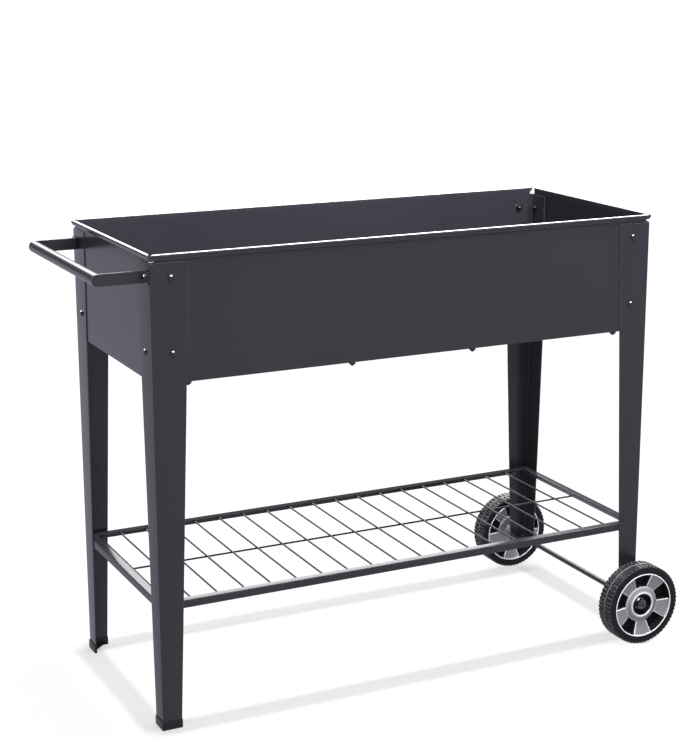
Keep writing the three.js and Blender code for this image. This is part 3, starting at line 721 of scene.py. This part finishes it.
# %% [markdown]
# ## Four tapered legs
#
# A leg is one strip folded to an angle, whose two flanges narrow towards the floor. The fold
# runs upwards, so the section is drawn lying down and then stood up. Two slanted cuts make the
# taper. The right legs end above the floor, at the axle. A stud on each leg holds the shelf.

# %% Legs
LEG_X, LEG_Y, LEG_TOP = 472.0, 197.0, 786.0
LEG_SHEET, LEG_FOLD = 1.5, 2.0
FLANGE_FOOT, LONG_FLANGE_TOP, SIDE_FLANGE_TOP = 33.0, 65.0, 60.0
LEFT_FOOT, RIGHT_FOOT = 3.3, 60.0
STUD_X, STUD_Z, STUD_SINK = 437.0, 214.03, 0.5
STUD_RADIUS, STUD_ROOT, STUD_TURNS, STUD_PITCH = 3.0, 2.4, 10, 1.05
CORNERS = (  # name, side in X, side in Y
    ("front_left", -1, -1), ("rear_left", -1, 1), ("front_right", 1, -1), ("rear_right", 1, 1),
)


def upright(bm):
    """Stands a folded piece up: its length along X becomes its height, and -z becomes x."""
    turned(bm, -QUARTER, "Y")


def to_corner(bm, side_x, side_y):
    """Mirrors a piece drawn in the rear right corner, and takes it to its own corner."""
    flipped(bm, side_x, side_y)
    moved(bm, side_x * LEG_X, side_y * LEG_Y)


def stud(bm):
    """Rings of thread, as one spun zigzag. The stud starts inside the sheet of the leg."""
    outline = [(0, 0), (STUD_ROOT, 0)]
    for turn in range(STUD_TURNS):
        outline.append((STUD_RADIUS, (turn + 0.5) * STUD_PITCH))
        outline.append((STUD_ROOT, (turn + 1) * STUD_PITCH))
    outline.append((0, STUD_TURNS * STUD_PITCH))
    made = spun(bm, outline, 16)
    turned(bm, QUARTER, "X", verts=made)
    moved(bm, STUD_X - LEG_X, -STUD_SINK, STUD_Z, verts=made)


for place, side_x, side_y in CORNERS:
    foot = LEFT_FOOT if side_x < 0 else RIGHT_FOOT
    bm = fold([(-SIDE_FLANGE_TOP, 0), (0, 0), (0, LONG_FLANGE_TOP)], foot, LEG_TOP, (LEG_FOLD,))
    upright(bm)
    trim(bm, (-FLANGE_FOOT, 0, 0), (-1, 0, (FLANGE_FOOT - LONG_FLANGE_TOP) / LEG_TOP))
    trim(bm, (0, -FLANGE_FOOT, 0), (0, -1, (FLANGE_FOOT - SIDE_FLANGE_TOP) / LEG_TOP))
    thicken(bm, LEG_SHEET)
    stud(bm)
    to_corner(bm, side_x, side_y)
    piece(
        bm, f"{place}_leg", CHARCOAL, "charcoal_paint", f"leg_{place}", soft=0.25,
        lamps=(no_shadow,),
    )

# %% [markdown]
# ## Foot caps
#
# The left legs stand in black plastic shoes. Each is an L-shaped block with a slot for the
# steel: the outline is filled and extruded, and its top face is inset and pushed down.

# %% Foot caps
CAP_HEIGHT, CAP_REACH, CAP_OUTSIDE, CAP_INSIDE, CAP_ROUND = 15.0, 34.5, 1.5, 3.0, 1.2
CAP_WALL, SLOT_SLOPE, SLOT_DEPTH = 1.3, 0.05, 10.0

for place, side_x, side_y in CORNERS[:2]:
    bm = bmesh.new()
    outline = [
        (CAP_OUTSIDE, CAP_OUTSIDE), (-CAP_REACH, CAP_OUTSIDE), (-CAP_REACH, -CAP_INSIDE),
        (-CAP_INSIDE, -CAP_INSIDE), (-CAP_INSIDE, -CAP_REACH), (CAP_OUTSIDE, -CAP_REACH),
    ]
    sole = bm.faces.new([bm.verts.new(mm(x, y)) for x, y in outline])
    extruded(bm, [sole], 0, 0, CAP_HEIGHT)
    upright_edges = [e for e in bm.edges if abs(e.verts[0].co.z - e.verts[1].co.z) > NEAR]
    bevelled(bm, upright_edges, CAP_ROUND, 4)
    turn_out(bm)
    top = max(bm.faces, key=lambda face: face.calc_center_median().z)
    bmesh.ops.inset_region(bm, faces=[top], thickness=CAP_WALL * MM, use_even_offset=True)
    bmesh.ops.inset_region(bm, faces=[top], thickness=SLOT_SLOPE * MM, depth=-SLOT_DEPTH * MM)
    to_corner(bm, side_x, side_y)
    piece(
        bm, f"{place}_foot", BLACK_PLASTIC, "black_plastic", f"foot_cap_{place}", soft=0.5,
        lamps=(no_shadow,),
    )

# %% [markdown]
# ## The shelf
#
# Four angle rails meet in mitres between the legs. Round wires lie under the flanges, welded to
# one long wire below them. The rails are folded as the walls are, and each wire is a cylinder
# whose ends are rounded off.

# %% Shelf rails
SHELF_TOP, RAIL_FLANGE, RAIL_DEPTH, RAIL_SHEET, RAIL_FOLD = 222.0, 15.0, 13.0, 1.5, 2.0
SHELF_X, SHELF_Y = 470.25, 195.25
MITRE_SEAT = 0.15

for side, turn, is_long in SIDES:
    reach, facing = (SHELF_X, SHELF_Y) if is_long else (SHELF_Y, SHELF_X)
    section = [
        (facing, SHELF_TOP - RAIL_DEPTH), (facing, SHELF_TOP), (facing - RAIL_FLANGE, SHELF_TOP),
    ]
    bm = fold(section, -reach, reach, (RAIL_FOLD,))
    for end in (-1, 1):
        trim(bm, (end * (reach - MITRE_SEAT), facing, 0), (end, -1, 0))
    thicken(bm, RAIL_SHEET)
    turned(bm, turn)
    piece(
        bm, f"{side}_shelf_rail", CHARCOAL, "charcoal_paint", f"shelf_rail_{side}", soft=0.2,
        lamps=(no_lamps,) if side == "rear" else (),
    )

# %% Shelf wires
WIRE, WIRE_ROUND, CROSS_PITCH, END_WIRE_X = 1.75, 0.4, 48.3, 451.75
CROSS_Z, LONG_Z = 218.7, 216.0
CROSS_LENGTH, LONG_LENGTH = 386.9, 936.9


def wire(bm, length, x, z, axis):
    """A round wire, with the small rounding that cutting pliers and paint leave at its ends."""
    made = ring(bm, 0, WIRE, -length / 2, length / 2, WIRE_ROUND, 16)
    turned(bm, QUARTER, axis, verts=made)
    moved(bm, x, 0, z, verts=made)


bm = bmesh.new()
wire(bm, LONG_LENGTH, 0, LONG_Z, "Y")
cross_wires = [-END_WIRE_X, END_WIRE_X] + [(index - 8.5) * CROSS_PITCH for index in range(18)]
for x in cross_wires:
    wire(bm, CROSS_LENGTH, x, CROSS_Z, "X")
clean(bm)
piece(bm, "shelf_wires", WIRE_PAINT, "charcoal_paint", "shelf_wire_mesh", lamps=(no_shadow,))
print("wires:", len(cross_wires), "across and one along")

# %% [markdown]
# ## The handle
#
# Two flat bars are folded to a tab that is bolted to the leg, and end round behind the tube
# that they hold. The round end is a bevel of the bar's two end corners, as wide as the bar.

# %% Handle
GRIP_X, GRIP_Z, GRIP_RADIUS, GRIP_WALL, GRIP_HALF = -548.5, 762.0, 10.0, 1.5, 169.7
ARM_FACE, ARM_SHEET, ARM_FOLD, TAB_FACE, TAB_END = 173.0, 3.0, 1.5, 475.0, 193.0
CUT_EDGE = 0.3  # what turning takes off the edge of a tube or a washer
ENDS = (("front", -1), ("rear", 1))  # name, side in Y

for side, side_y in ENDS:
    section = [(TAB_END, TAB_FACE), (ARM_FACE, TAB_FACE), (ARM_FACE, GRIP_RADIUS - GRIP_X)]
    bm = fold(section, GRIP_Z - GRIP_RADIUS, GRIP_Z + GRIP_RADIUS, (ARM_FOLD,))
    upright(bm)
    far = min(v.co.x for v in bm.verts)
    round_end = [v for v in bm.verts if v.co.x < far + NEAR]
    bevelled(bm, round_end, GRIP_RADIUS - 0.01, 10, affect="VERTICES")
    thicken(bm, ARM_SHEET)
    flipped(bm, 1, side_y)
    piece(bm, f"{side}_handle_arm", CHARCOAL, "charcoal_paint", f"handle_arm_{side}", soft=0.4)

bm = bmesh.new()
ring(bm, GRIP_RADIUS - GRIP_WALL, GRIP_RADIUS, -GRIP_HALF, GRIP_HALF, CUT_EDGE, 48)
turned(bm, QUARTER, "X")
moved(bm, GRIP_X, 0, GRIP_Z)
clean(bm)
piece(bm, "push_tube", CHARCOAL, "charcoal_paint", "handle_grip")

# %% [markdown]
# ## Bolts and nuts
#
# A bolt has a low dome, a shank with rings of thread and a hexagon nut on the inside. The whole
# body of a bolt is one spun outline. The nut is a six-sided cylinder whose corners are turned
# off, which is a bevel of its rims.

# %% Fasteners
HEAD_RADIUS, HEAD_HEIGHT, HEAD_RIM, HEAD_STEPS = 6.0, 3.5, 0.35, 6
SHANK, THREAD_DEPTH, THREAD_PITCH = 3.0, 0.45, 1.0
NUT_FLATS, NUT_HEIGHT, BOLT_TIP = 10.0, 5.0, 2.5
NUT_CORNER = 0.09  # what turning takes off a corner, as a share of the flats


def hex_nut(bm, flats, low, high):
    """A six-sided nut between two heights. Its corners are turned off at both rims."""
    radius = flats / 2 / math.cos(math.pi / 6) * MM
    corners = bmesh.ops.create_cone(
        bm, cap_ends=True, segments=6, radius1=radius, radius2=radius, depth=(high - low) * MM,
        matrix=Matrix.Translation(mm(0, 0, (low + high) / 2)),
    )["verts"]
    bevelled(bm, corners, NUT_CORNER * flats, 2, affect="VERTICES")


def bolt(name, node, grip, place, axis, lamps=(bolts_alone,)):
    """A bolt whose head lies on its place and points along the axis, with its nut behind."""
    end = -grip - NUT_HEIGHT - BOLT_TIP
    bm = bmesh.new()
    outline = [(0, end), (SHANK - 0.6, end), (SHANK - 0.1, end + THREAD_PITCH / 2)]
    height = end + THREAD_PITCH
    while height < -grip:
        outline += [(SHANK - THREAD_DEPTH, height), (SHANK, height + THREAD_PITCH / 2)]
        height += THREAD_PITCH
    outline += [(SHANK, 0), (HEAD_RADIUS - CUT_EDGE, 0), (HEAD_RADIUS, HEAD_RIM)]
    for step in range(1, HEAD_STEPS + 1):
        angle = step * QUARTER / HEAD_STEPS
        rise = HEAD_RIM + (HEAD_HEIGHT - HEAD_RIM) * math.sin(angle)
        outline.append((HEAD_RADIUS * math.cos(angle), rise))
    spun(bm, outline, 24)
    clean(bm)
    hex_nut(bm, NUT_FLATS, end + BOLT_TIP, end + BOLT_TIP + NUT_HEIGHT)
    turn = Vector((0, 0, 1)).rotation_difference(Vector(axis)).to_matrix()
    bmesh.ops.rotate(bm, verts=bm.verts[:], cent=(0, 0, 0), matrix=turn)
    moved(bm, *place)
    turn_out(bm)
    piece(bm, name, BLACK_STEEL, "black_steel", node, smooth=50, lamps=lamps)


UPPER_Z, LOWER_Z, LONG_BOLT_X = 762.0, 640.0, 437.0
SIDE_UPPER_Y, SIDE_LOWER_Y = 181.0, 165.0
for place, side_x, side_y in CORNERS:
    for level, z in (("upper", UPPER_Z), ("lower", LOWER_Z)):
        bolt(
            f"{place}_{level}_leg_bolt", f"leg_bolt_{level}_{place}", LEG_SHEET + SHEET,
            (side_x * LONG_BOLT_X, side_y * LEG_Y, z), (0, side_y, 0),
        )
    bolt(
        f"{place}_lower_side_bolt", f"side_bolt_lower_{place}", LEG_SHEET + 2 * SHEET,
        (side_x * LEG_X, side_y * SIDE_LOWER_Y, LOWER_Z), (side_x, 0, 0),
    )
    if side_x < 0:
        name, node, arm, x = "handle_bolt", "handle_bolt", ARM_SHEET, -TAB_FACE
    else:
        name, node, arm, x = "upper_side_bolt", "side_bolt_upper", 0, LEG_X
    bolt(
        f"{place}_{name}", f"{node}_{place}", arm + LEG_SHEET + 2 * SHEET,
        (x, side_y * SIDE_UPPER_Y, UPPER_Z), (side_x, 0, 0),
    )
    bm = bmesh.new()
    hex_nut(bm, NUT_FLATS, 0, NUT_HEIGHT)
    turned(bm, side_y * QUARTER, "X")
    moved(bm, side_x * STUD_X, side_y * (SHELF_Y - RAIL_SHEET), STUD_Z)
    piece(
        bm, f"{place}_shelf_nut", BLACK_STEEL, "black_steel", f"shelf_nut_{place}", smooth=50,
        lamps=(bolts_alone,),
    )

BOTTOM_BOLT_X, BOTTOM_BOLT_Y = (-408.5, -116.0, 116.0, 408.5), 184.5
for side, side_y in ENDS:
    for number, x in enumerate(BOTTOM_BOLT_X, start=1):
        bolt(
            f"{side}_bottom_bolt_{number}", f"bottom_bolt_{side}_{number}", 2 * SHEET,
            (x, side_y * BOTTOM_BOLT_Y, PLATE_TOP), (0, 0, 1), lamps=(),
        )

# %% [markdown]
# ## Axle, washers and axle nuts
#
# The axle is a plain rod with thread at both ends. It stays with the legs, and the wheels turn
# on it. The other pieces from here on are drawn round the wheel's own axis, with z = 0 at the
# outer face of the leg, and are then stood on their side.

# %% Axle and its fittings
AXLE_X, AXLE_Z, AXLE_RADIUS, AXLE_HALF, AXLE_THREAD = 455.0, 75.5, 5.0, 248.1, 14
AXLE_TIP, AXLE_ROOT = 1.0, 0.55
WASHER_RADIUS, WASHER_BORE, WASHER_SHEET = 11.0, 5.3, 1.5
INNER_WASHER, OUTER_WASHER, AXLE_NUT, AXLE_NUT_HEIGHT, AXLE_NUT_FLATS = 0.3, 38.3, 40.1, 8.0, 17.0


def to_wheel(bm, side_y):
    """Takes a piece drawn round the wheel's axis to the front or rear end of the axle."""
    turned(bm, -side_y * QUARTER, "X")
    moved(bm, AXLE_X, side_y * LEG_Y, AXLE_Z)


bm = bmesh.new()
outline = [(0, -AXLE_HALF), (AXLE_RADIUS - AXLE_TIP, -AXLE_HALF)]
for turn in range(AXLE_THREAD):
    start = turn - AXLE_HALF + AXLE_TIP
    outline += [(AXLE_RADIUS, start), (AXLE_RADIUS - AXLE_ROOT, start + 0.5)]
outline.append((AXLE_RADIUS, AXLE_THREAD - AXLE_HALF + AXLE_TIP))
outline += [(radius, -height) for radius, height in reversed(outline)]
spun(bm, outline, 32)
turned(bm, QUARTER, "X")
moved(bm, AXLE_X, 0, AXLE_Z)
clean(bm)
piece(bm, "wheel_axle", BLACK_STEEL, "black_steel", "axle", lamps=(no_shadow,))

for side, side_y in ENDS:
    for where, start in (("inner", INNER_WASHER), ("outer", OUTER_WASHER)):
        bm = bmesh.new()
        ring(bm, WASHER_BORE, WASHER_RADIUS, start, start + WASHER_SHEET, CUT_EDGE, 40)
        clean(bm)
        to_wheel(bm, side_y)
        piece(
            bm, f"{side}_{where}_washer", BRIGHT_STEEL, "black_steel", f"{where}_washer_{side}",
            lamps=(bolts_alone,),
        )
    bm = bmesh.new()
    hex_nut(bm, AXLE_NUT_FLATS, AXLE_NUT, AXLE_NUT + AXLE_NUT_HEIGHT)
    to_wheel(bm, side_y)
    turn_out(bm)
    piece(
        bm, f"{side}_axle_nut", BRIGHT_STEEL, "black_steel", f"axle_nut_{side}", smooth=50,
        lamps=(bolts_alone,),
    )

# %% [markdown]
# ## Tyres
#
# The carcass is a spun outline, with a flat sidewall that runs out to a narrow shoulder, and a
# thin ring round the middle of the tread. The ribs of the tread lie across it in two rows. One
# rib is drawn from the side, thickened and bevelled, and a spin with duplicates carries it
# round. Its outer end runs down over the shoulder, which gives the shoulder its toothed edge.

# %% Tyre
TYRE_START, TYRE_WIDTH = 15.0, 38.0
TYRE_MIDDLE, TYRE_END = TYRE_START + TYRE_WIDTH / 2, TYRE_START + TYRE_WIDTH
BEAD, TREAD_FLOOR, RING_TOP = 61.3, 73.3, 75.45
RIBS, RIB_WIDTH, RIB_TOP, RIB_FOOT, RIB_EDGE = 58, 5.0, 75.4, 72.6, 0.45
RIB_START, RIB_END = 1.9, 17.4
HALF_TYRE = [  # (radius, distance from the middle of the tyre)
    (BEAD, 17.6), (BEAD + 0.4, 18.6), (BEAD + 1.2, 19), (BEAD + 2.4, 18.9), (72.2, 18.4),
    (73.8, 18.1), (74.3, 17.4), (74.0, 16.8), (TREAD_FLOOR, 16.0), (TREAD_FLOOR, 1.4),
    (RING_TOP, 0.9),
]
RIB = [
    (RIB_FOOT, RIB_START), (RIB_TOP, RIB_START), (RIB_TOP, RIB_END), (75.2, 18.3), (74.2, 18.7),
    (72.2, 18.3), (RIB_FOOT, 16.6),
]


def ribs(bm, row):
    """A first rib, rounded where it shows, and its copies round the wheel."""
    rib = bm.faces.new([bm.verts.new(mm(radius, -RIB_WIDTH / 2, row * z)) for radius, z in RIB])
    block = set(extruded(bm, [rib], 0, RIB_WIDTH)) | set(rib.verts)
    top, end = (RIB_FOOT + 0.1) * MM, (RIB_END + 0.1) * MM
    crown = {v for v in block if v.co.x > top or abs(v.co.z) > end}
    edges = [e for e in bm.edges if e.verts[0] in crown and e.verts[1] in crown]
    bmesh.ops.recalc_face_normals(bm, faces=[f for f in bm.faces if f.verts[0] in block])
    rounded = bevelled(bm, edges, RIB_EDGE, 1)
    whole = set(rounded["verts"]) | {v for v in block if v.is_valid}
    turned(bm, math.pi / RIBS * (row > 0), verts=list(whole))
    geometry = list(whole)
    for parts in (bm.edges, bm.faces):
        geometry += [part for part in parts if part.verts[0] in whole]
    bmesh.ops.spin(
        bm, geom=geometry, cent=(0, 0, 0), axis=(0, 0, 1), use_duplicate=True,
        angle=2 * math.pi * (RIBS - 1) / RIBS, steps=RIBS - 1,
    )


def tyre(side, side_y):
    bm = bmesh.new()
    outline = [(radius, -z) for radius, z in HALF_TYRE]
    outline += [(radius, z) for radius, z in reversed(HALF_TYRE)]
    spun(bm, outline + outline[:1], 3 * RIBS)
    clean(bm)
    # The top of the ring round the middle of the tread takes the second finish, a painted
    # highlight.
    for face in bm.faces:
        if face.calc_center_median().xy.length > (RING_TOP - 0.1) * MM:
            face.material_index = 1
    for row in (-1, 1):
        ribs(bm, row)
    moved(bm, 0, 0, TYRE_MIDDLE)
    to_wheel(bm, side_y)
    return piece(
        bm, f"{side}_tyre", (RUBBER, TREAD_HIGHLIGHT), "black_rubber", f"tyre_{side}",
        body=f"{side}_wheel", lamps=(no_shadow, tyres_alone),
    )


for side, side_y in ENDS:
    made = tyre(side, side_y)
    print(made.name, len(made.data.polygons), "faces")

# %% [markdown]
# ## Hubs
#
# The hub is a spun disc: a ring, dished spokes, a cone-shaped plate and a round socket with a
# lip for the nut. Its segments are counted so that every window between two spokes starts and
# ends on one. The windows are pushed in twice: the first push leaves the grey edge of a spoke,
# the second the black pocket behind it, which ends at a web in the middle of the wheel. The
# black of the pockets and the socket is black plastic and painted shade. The front of the ring
# is painted light, and the spokes' edges, the socket's lip and the plate's rim take painted
# highlights.

# %% Hub
RING_OUTSIDE, RING_INSIDE, PLATE_RADIUS, SOCKET_RADIUS, BARREL_RADIUS = 61.0, 59.3, 33.4, 20.6, 13.0
SOCKET_FLOOR = TYRE_END - 15.0
BARREL_START, BARREL_END, WHEEL_BORE = 2.1, TYRE_START + 12.0, AXLE_RADIUS + 0.3
WINDOW_INSIDE, WINDOW_OUTSIDE, WINDOW_EDGE = 35.2, 58.6, 1.0
SPOKES, SPOKE_STEPS, WINDOW_STEPS = 5, 10, 10
HUB_STEPS = SPOKES * (SPOKE_STEPS + WINDOW_STEPS)
SPOKE_ANGLE = math.radians(35.5)  # from the top to the middle of the first spoke
SPOKE_EDGE = 2.5
WEB = 1.5  # from the middle of the wheel to the floor of a window
# The second finish is black plastic and painted shade. The third paints the ring's front light and
# a highlight on the spokes' edges. The fourth is a painted highlight.
GREY, BLACK_AND_SHADE, LIGHT_AND_HIGHLIGHT, HIGHLIGHT = range(4)  # the finishes of a hub, in the order of its slots
HUB_FACE = [  # (radius, depth below the face of the tyre), from the ring to the plate
    (RING_OUTSIDE, 0.4), (RING_OUTSIDE - 0.3, 0), (RING_INSIDE + 0.4, 0), (RING_INSIDE, 0.5),
    (RING_INSIDE, 3.6), (WINDOW_OUTSIDE, 3.9), (WINDOW_INSIDE, 8.0), (34.9, 9.2), (34.0, 9.4),
    (PLATE_RADIUS, 7.5), (PLATE_RADIUS - 0.9, 6.7),
]
SOCKET_LIP = [
    (24.9, 4.4), (24.2, 3.6), (23.4, 3.2), (22.2, 3.1), (21.2, 3.6), (SOCKET_RADIUS, 4.6),
]


def in_window(centre):
    pitch = 2 * math.pi / SPOKES
    from_spoke = (math.atan2(centre.y, centre.x) + pitch / 2) % pitch - pitch / 2
    return abs(from_spoke) > math.pi * SPOKE_STEPS / HUB_STEPS


def push_windows(bm, face_side):
    """Pushes in the windows on one face of the hub, paints the pockets black with painted shade,
    and rounds the edges of the spokes, which take a painted highlight.
    """
    middle = TYRE_MIDDLE * MM
    windows = []
    for face in bm.faces:
        centre = face.calc_center_median()
        radius = centre.xy.length / MM
        if in_window(centre) and (centre.z - middle) * face_side > 0:
            if WINDOW_INSIDE < radius < WINDOW_OUTSIDE:
                windows.append(face)
            # The ring's inner wall and the plate's foot inside a window are painted black: black
            # plastic and painted shade.
            elif WINDOW_OUTSIDE < radius < RING_INSIDE + 0.1 or 34.0 < radius < WINDOW_INSIDE:
                face.material_index = BLACK_AND_SHADE
    rims = {
        e for face in windows for e in face.edges if sum(f in windows for f in e.link_faces) == 1
    }
    for to_web in (False, True):
        pushed = bmesh.ops.extrude_face_region(bm, geom=windows)
        bmesh.ops.delete(bm, geom=windows, context="FACES")
        windows = [g for g in pushed["geom"] if isinstance(g, bmesh.types.BMFace)]
        for v in vertices(pushed["geom"]):
            if to_web:
                v.co.z = middle + face_side * WEB * MM
            else:
                v.co.z -= face_side * SPOKE_EDGE * MM
        # The walls and the web of a pocket are painted black: black plastic and painted shade.
        for face in {f for v in vertices(pushed["geom"]) for f in v.link_faces}:
            radius = face.calc_center_median().xy.length / MM
            if to_web or not WINDOW_INSIDE + 0.4 < radius < WINDOW_OUTSIDE - 0.4:
                face.material_index = BLACK_AND_SHADE
    # The rounded edges beside a spoke take a painted highlight; the rest of the rounding is painted
    # black, as painted shade.
    for face in bevelled(bm, [e for e in rims if e.is_valid], WINDOW_EDGE, 2)["faces"]:
        radius = face.calc_center_median().xy.length / MM
        beside_spoke = WINDOW_INSIDE + 0.9 < radius < WINDOW_OUTSIDE - 0.9
        face.material_index = LIGHT_AND_HIGHLIGHT if beside_spoke else BLACK_AND_SHADE


def hub(side, side_y):
    bm = bmesh.new()
    spun(bm, [
        (WHEEL_BORE, BARREL_START), (BARREL_RADIUS - 0.6, BARREL_START),
        (BARREL_RADIUS, BARREL_START + 0.6), (BARREL_RADIUS, BARREL_END - 1),
        (BARREL_RADIUS + 1, BARREL_END),
        *((radius, TYRE_START + depth) for radius, depth in reversed(HUB_FACE)),
        *((radius, TYRE_END - depth) for radius, depth in HUB_FACE + SOCKET_LIP),
        (SOCKET_RADIUS, SOCKET_FLOOR + 0.8), (SOCKET_RADIUS - 0.8, SOCKET_FLOOR),
        (WHEEL_BORE, SOCKET_FLOOR), (WHEEL_BORE, BARREL_START),
    ], HUB_STEPS)
    clean(bm)
    turned(bm, math.pi / HUB_STEPS)
    for face_side in (-1, 1):
        push_windows(bm, face_side)
    for face in bm.faces:
        centre = face.calc_center_median()
        radius = centre.xy.length / MM
        height = centre.z / MM
        on_lip = SOCKET_RADIUS < radius < 24.6 and height > TYRE_END - 4.2
        on_plate_edge = 32.4 < radius < 33.8 and height > TYRE_END - 7.6
        # The front of the ring is painted light.
        if radius > RING_INSIDE and abs(height - TYRE_MIDDLE) > TYRE_WIDTH / 2 - 0.6:
            face.material_index = LIGHT_AND_HIGHLIGHT
        # The inside of the socket is painted black: black plastic and painted shade.
        elif radius < SOCKET_RADIUS + 0.1 and SOCKET_FLOOR - 0.1 < height < TYRE_END - 4.5:
            face.material_index = BLACK_AND_SHADE
        # The socket's lip and the plate's rim take a painted highlight.
        elif on_lip or on_plate_edge:
            face.material_index = HIGHLIGHT
    turned(bm, -side_y * QUARTER - SPOKE_ANGLE)
    to_wheel(bm, side_y)
    turn_out(bm)
    paints = (GREY_PLASTIC, WINDOW_BLACK_AND_SHADE, LIGHT_RING_AND_HIGHLIGHT, HUB_HIGHLIGHT)
    return piece(
        bm, f"{side}_hub", paints, "grey_plastic", f"wheel_hub_{side}", body=f"{side}_wheel",
        lamps=(no_shadow,),
    )


for side, side_y in ENDS:
    made = hub(side, side_y)
    print(made.name, len(made.data.polygons), "faces")

# %% [markdown]
# ## Left out of a lamp
#
# All pieces are made, so both collections of left-out things are complete. Each member is
# marked: the lamps pass over it, or it throws no shadow on the floor.

# %% Left out
for left_out in (no_shadow, no_lamps):
    for entry in left_out.collection_objects:
        entry.light_linking.link_state = "EXCLUDE"

# %% [markdown]
# ## Finishes for the solids themselves
#
# The solids of the frame are hidden behind the pieces, but they keep a finish of their own, so
# that nothing is left plain if one of them is shown.

# %% Finishes of the frame
SOLID_PAINTS = {"tyre": RUBBER, "wheel_hub": GREY_PLASTIC, "foot_cap": BLACK_PLASTIC}
SOLID_PAINTS |= dict.fromkeys(("bolt", "nut", "washer", "axle"), BLACK_STEEL)
for name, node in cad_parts.items():
    paints = [paint for word, paint in SOLID_PAINTS.items() if word in name]
    node.data.materials.clear()
    node.data.materials.append(paints[0] if paints else CHARCOAL)
print("painted", len(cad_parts), "solids")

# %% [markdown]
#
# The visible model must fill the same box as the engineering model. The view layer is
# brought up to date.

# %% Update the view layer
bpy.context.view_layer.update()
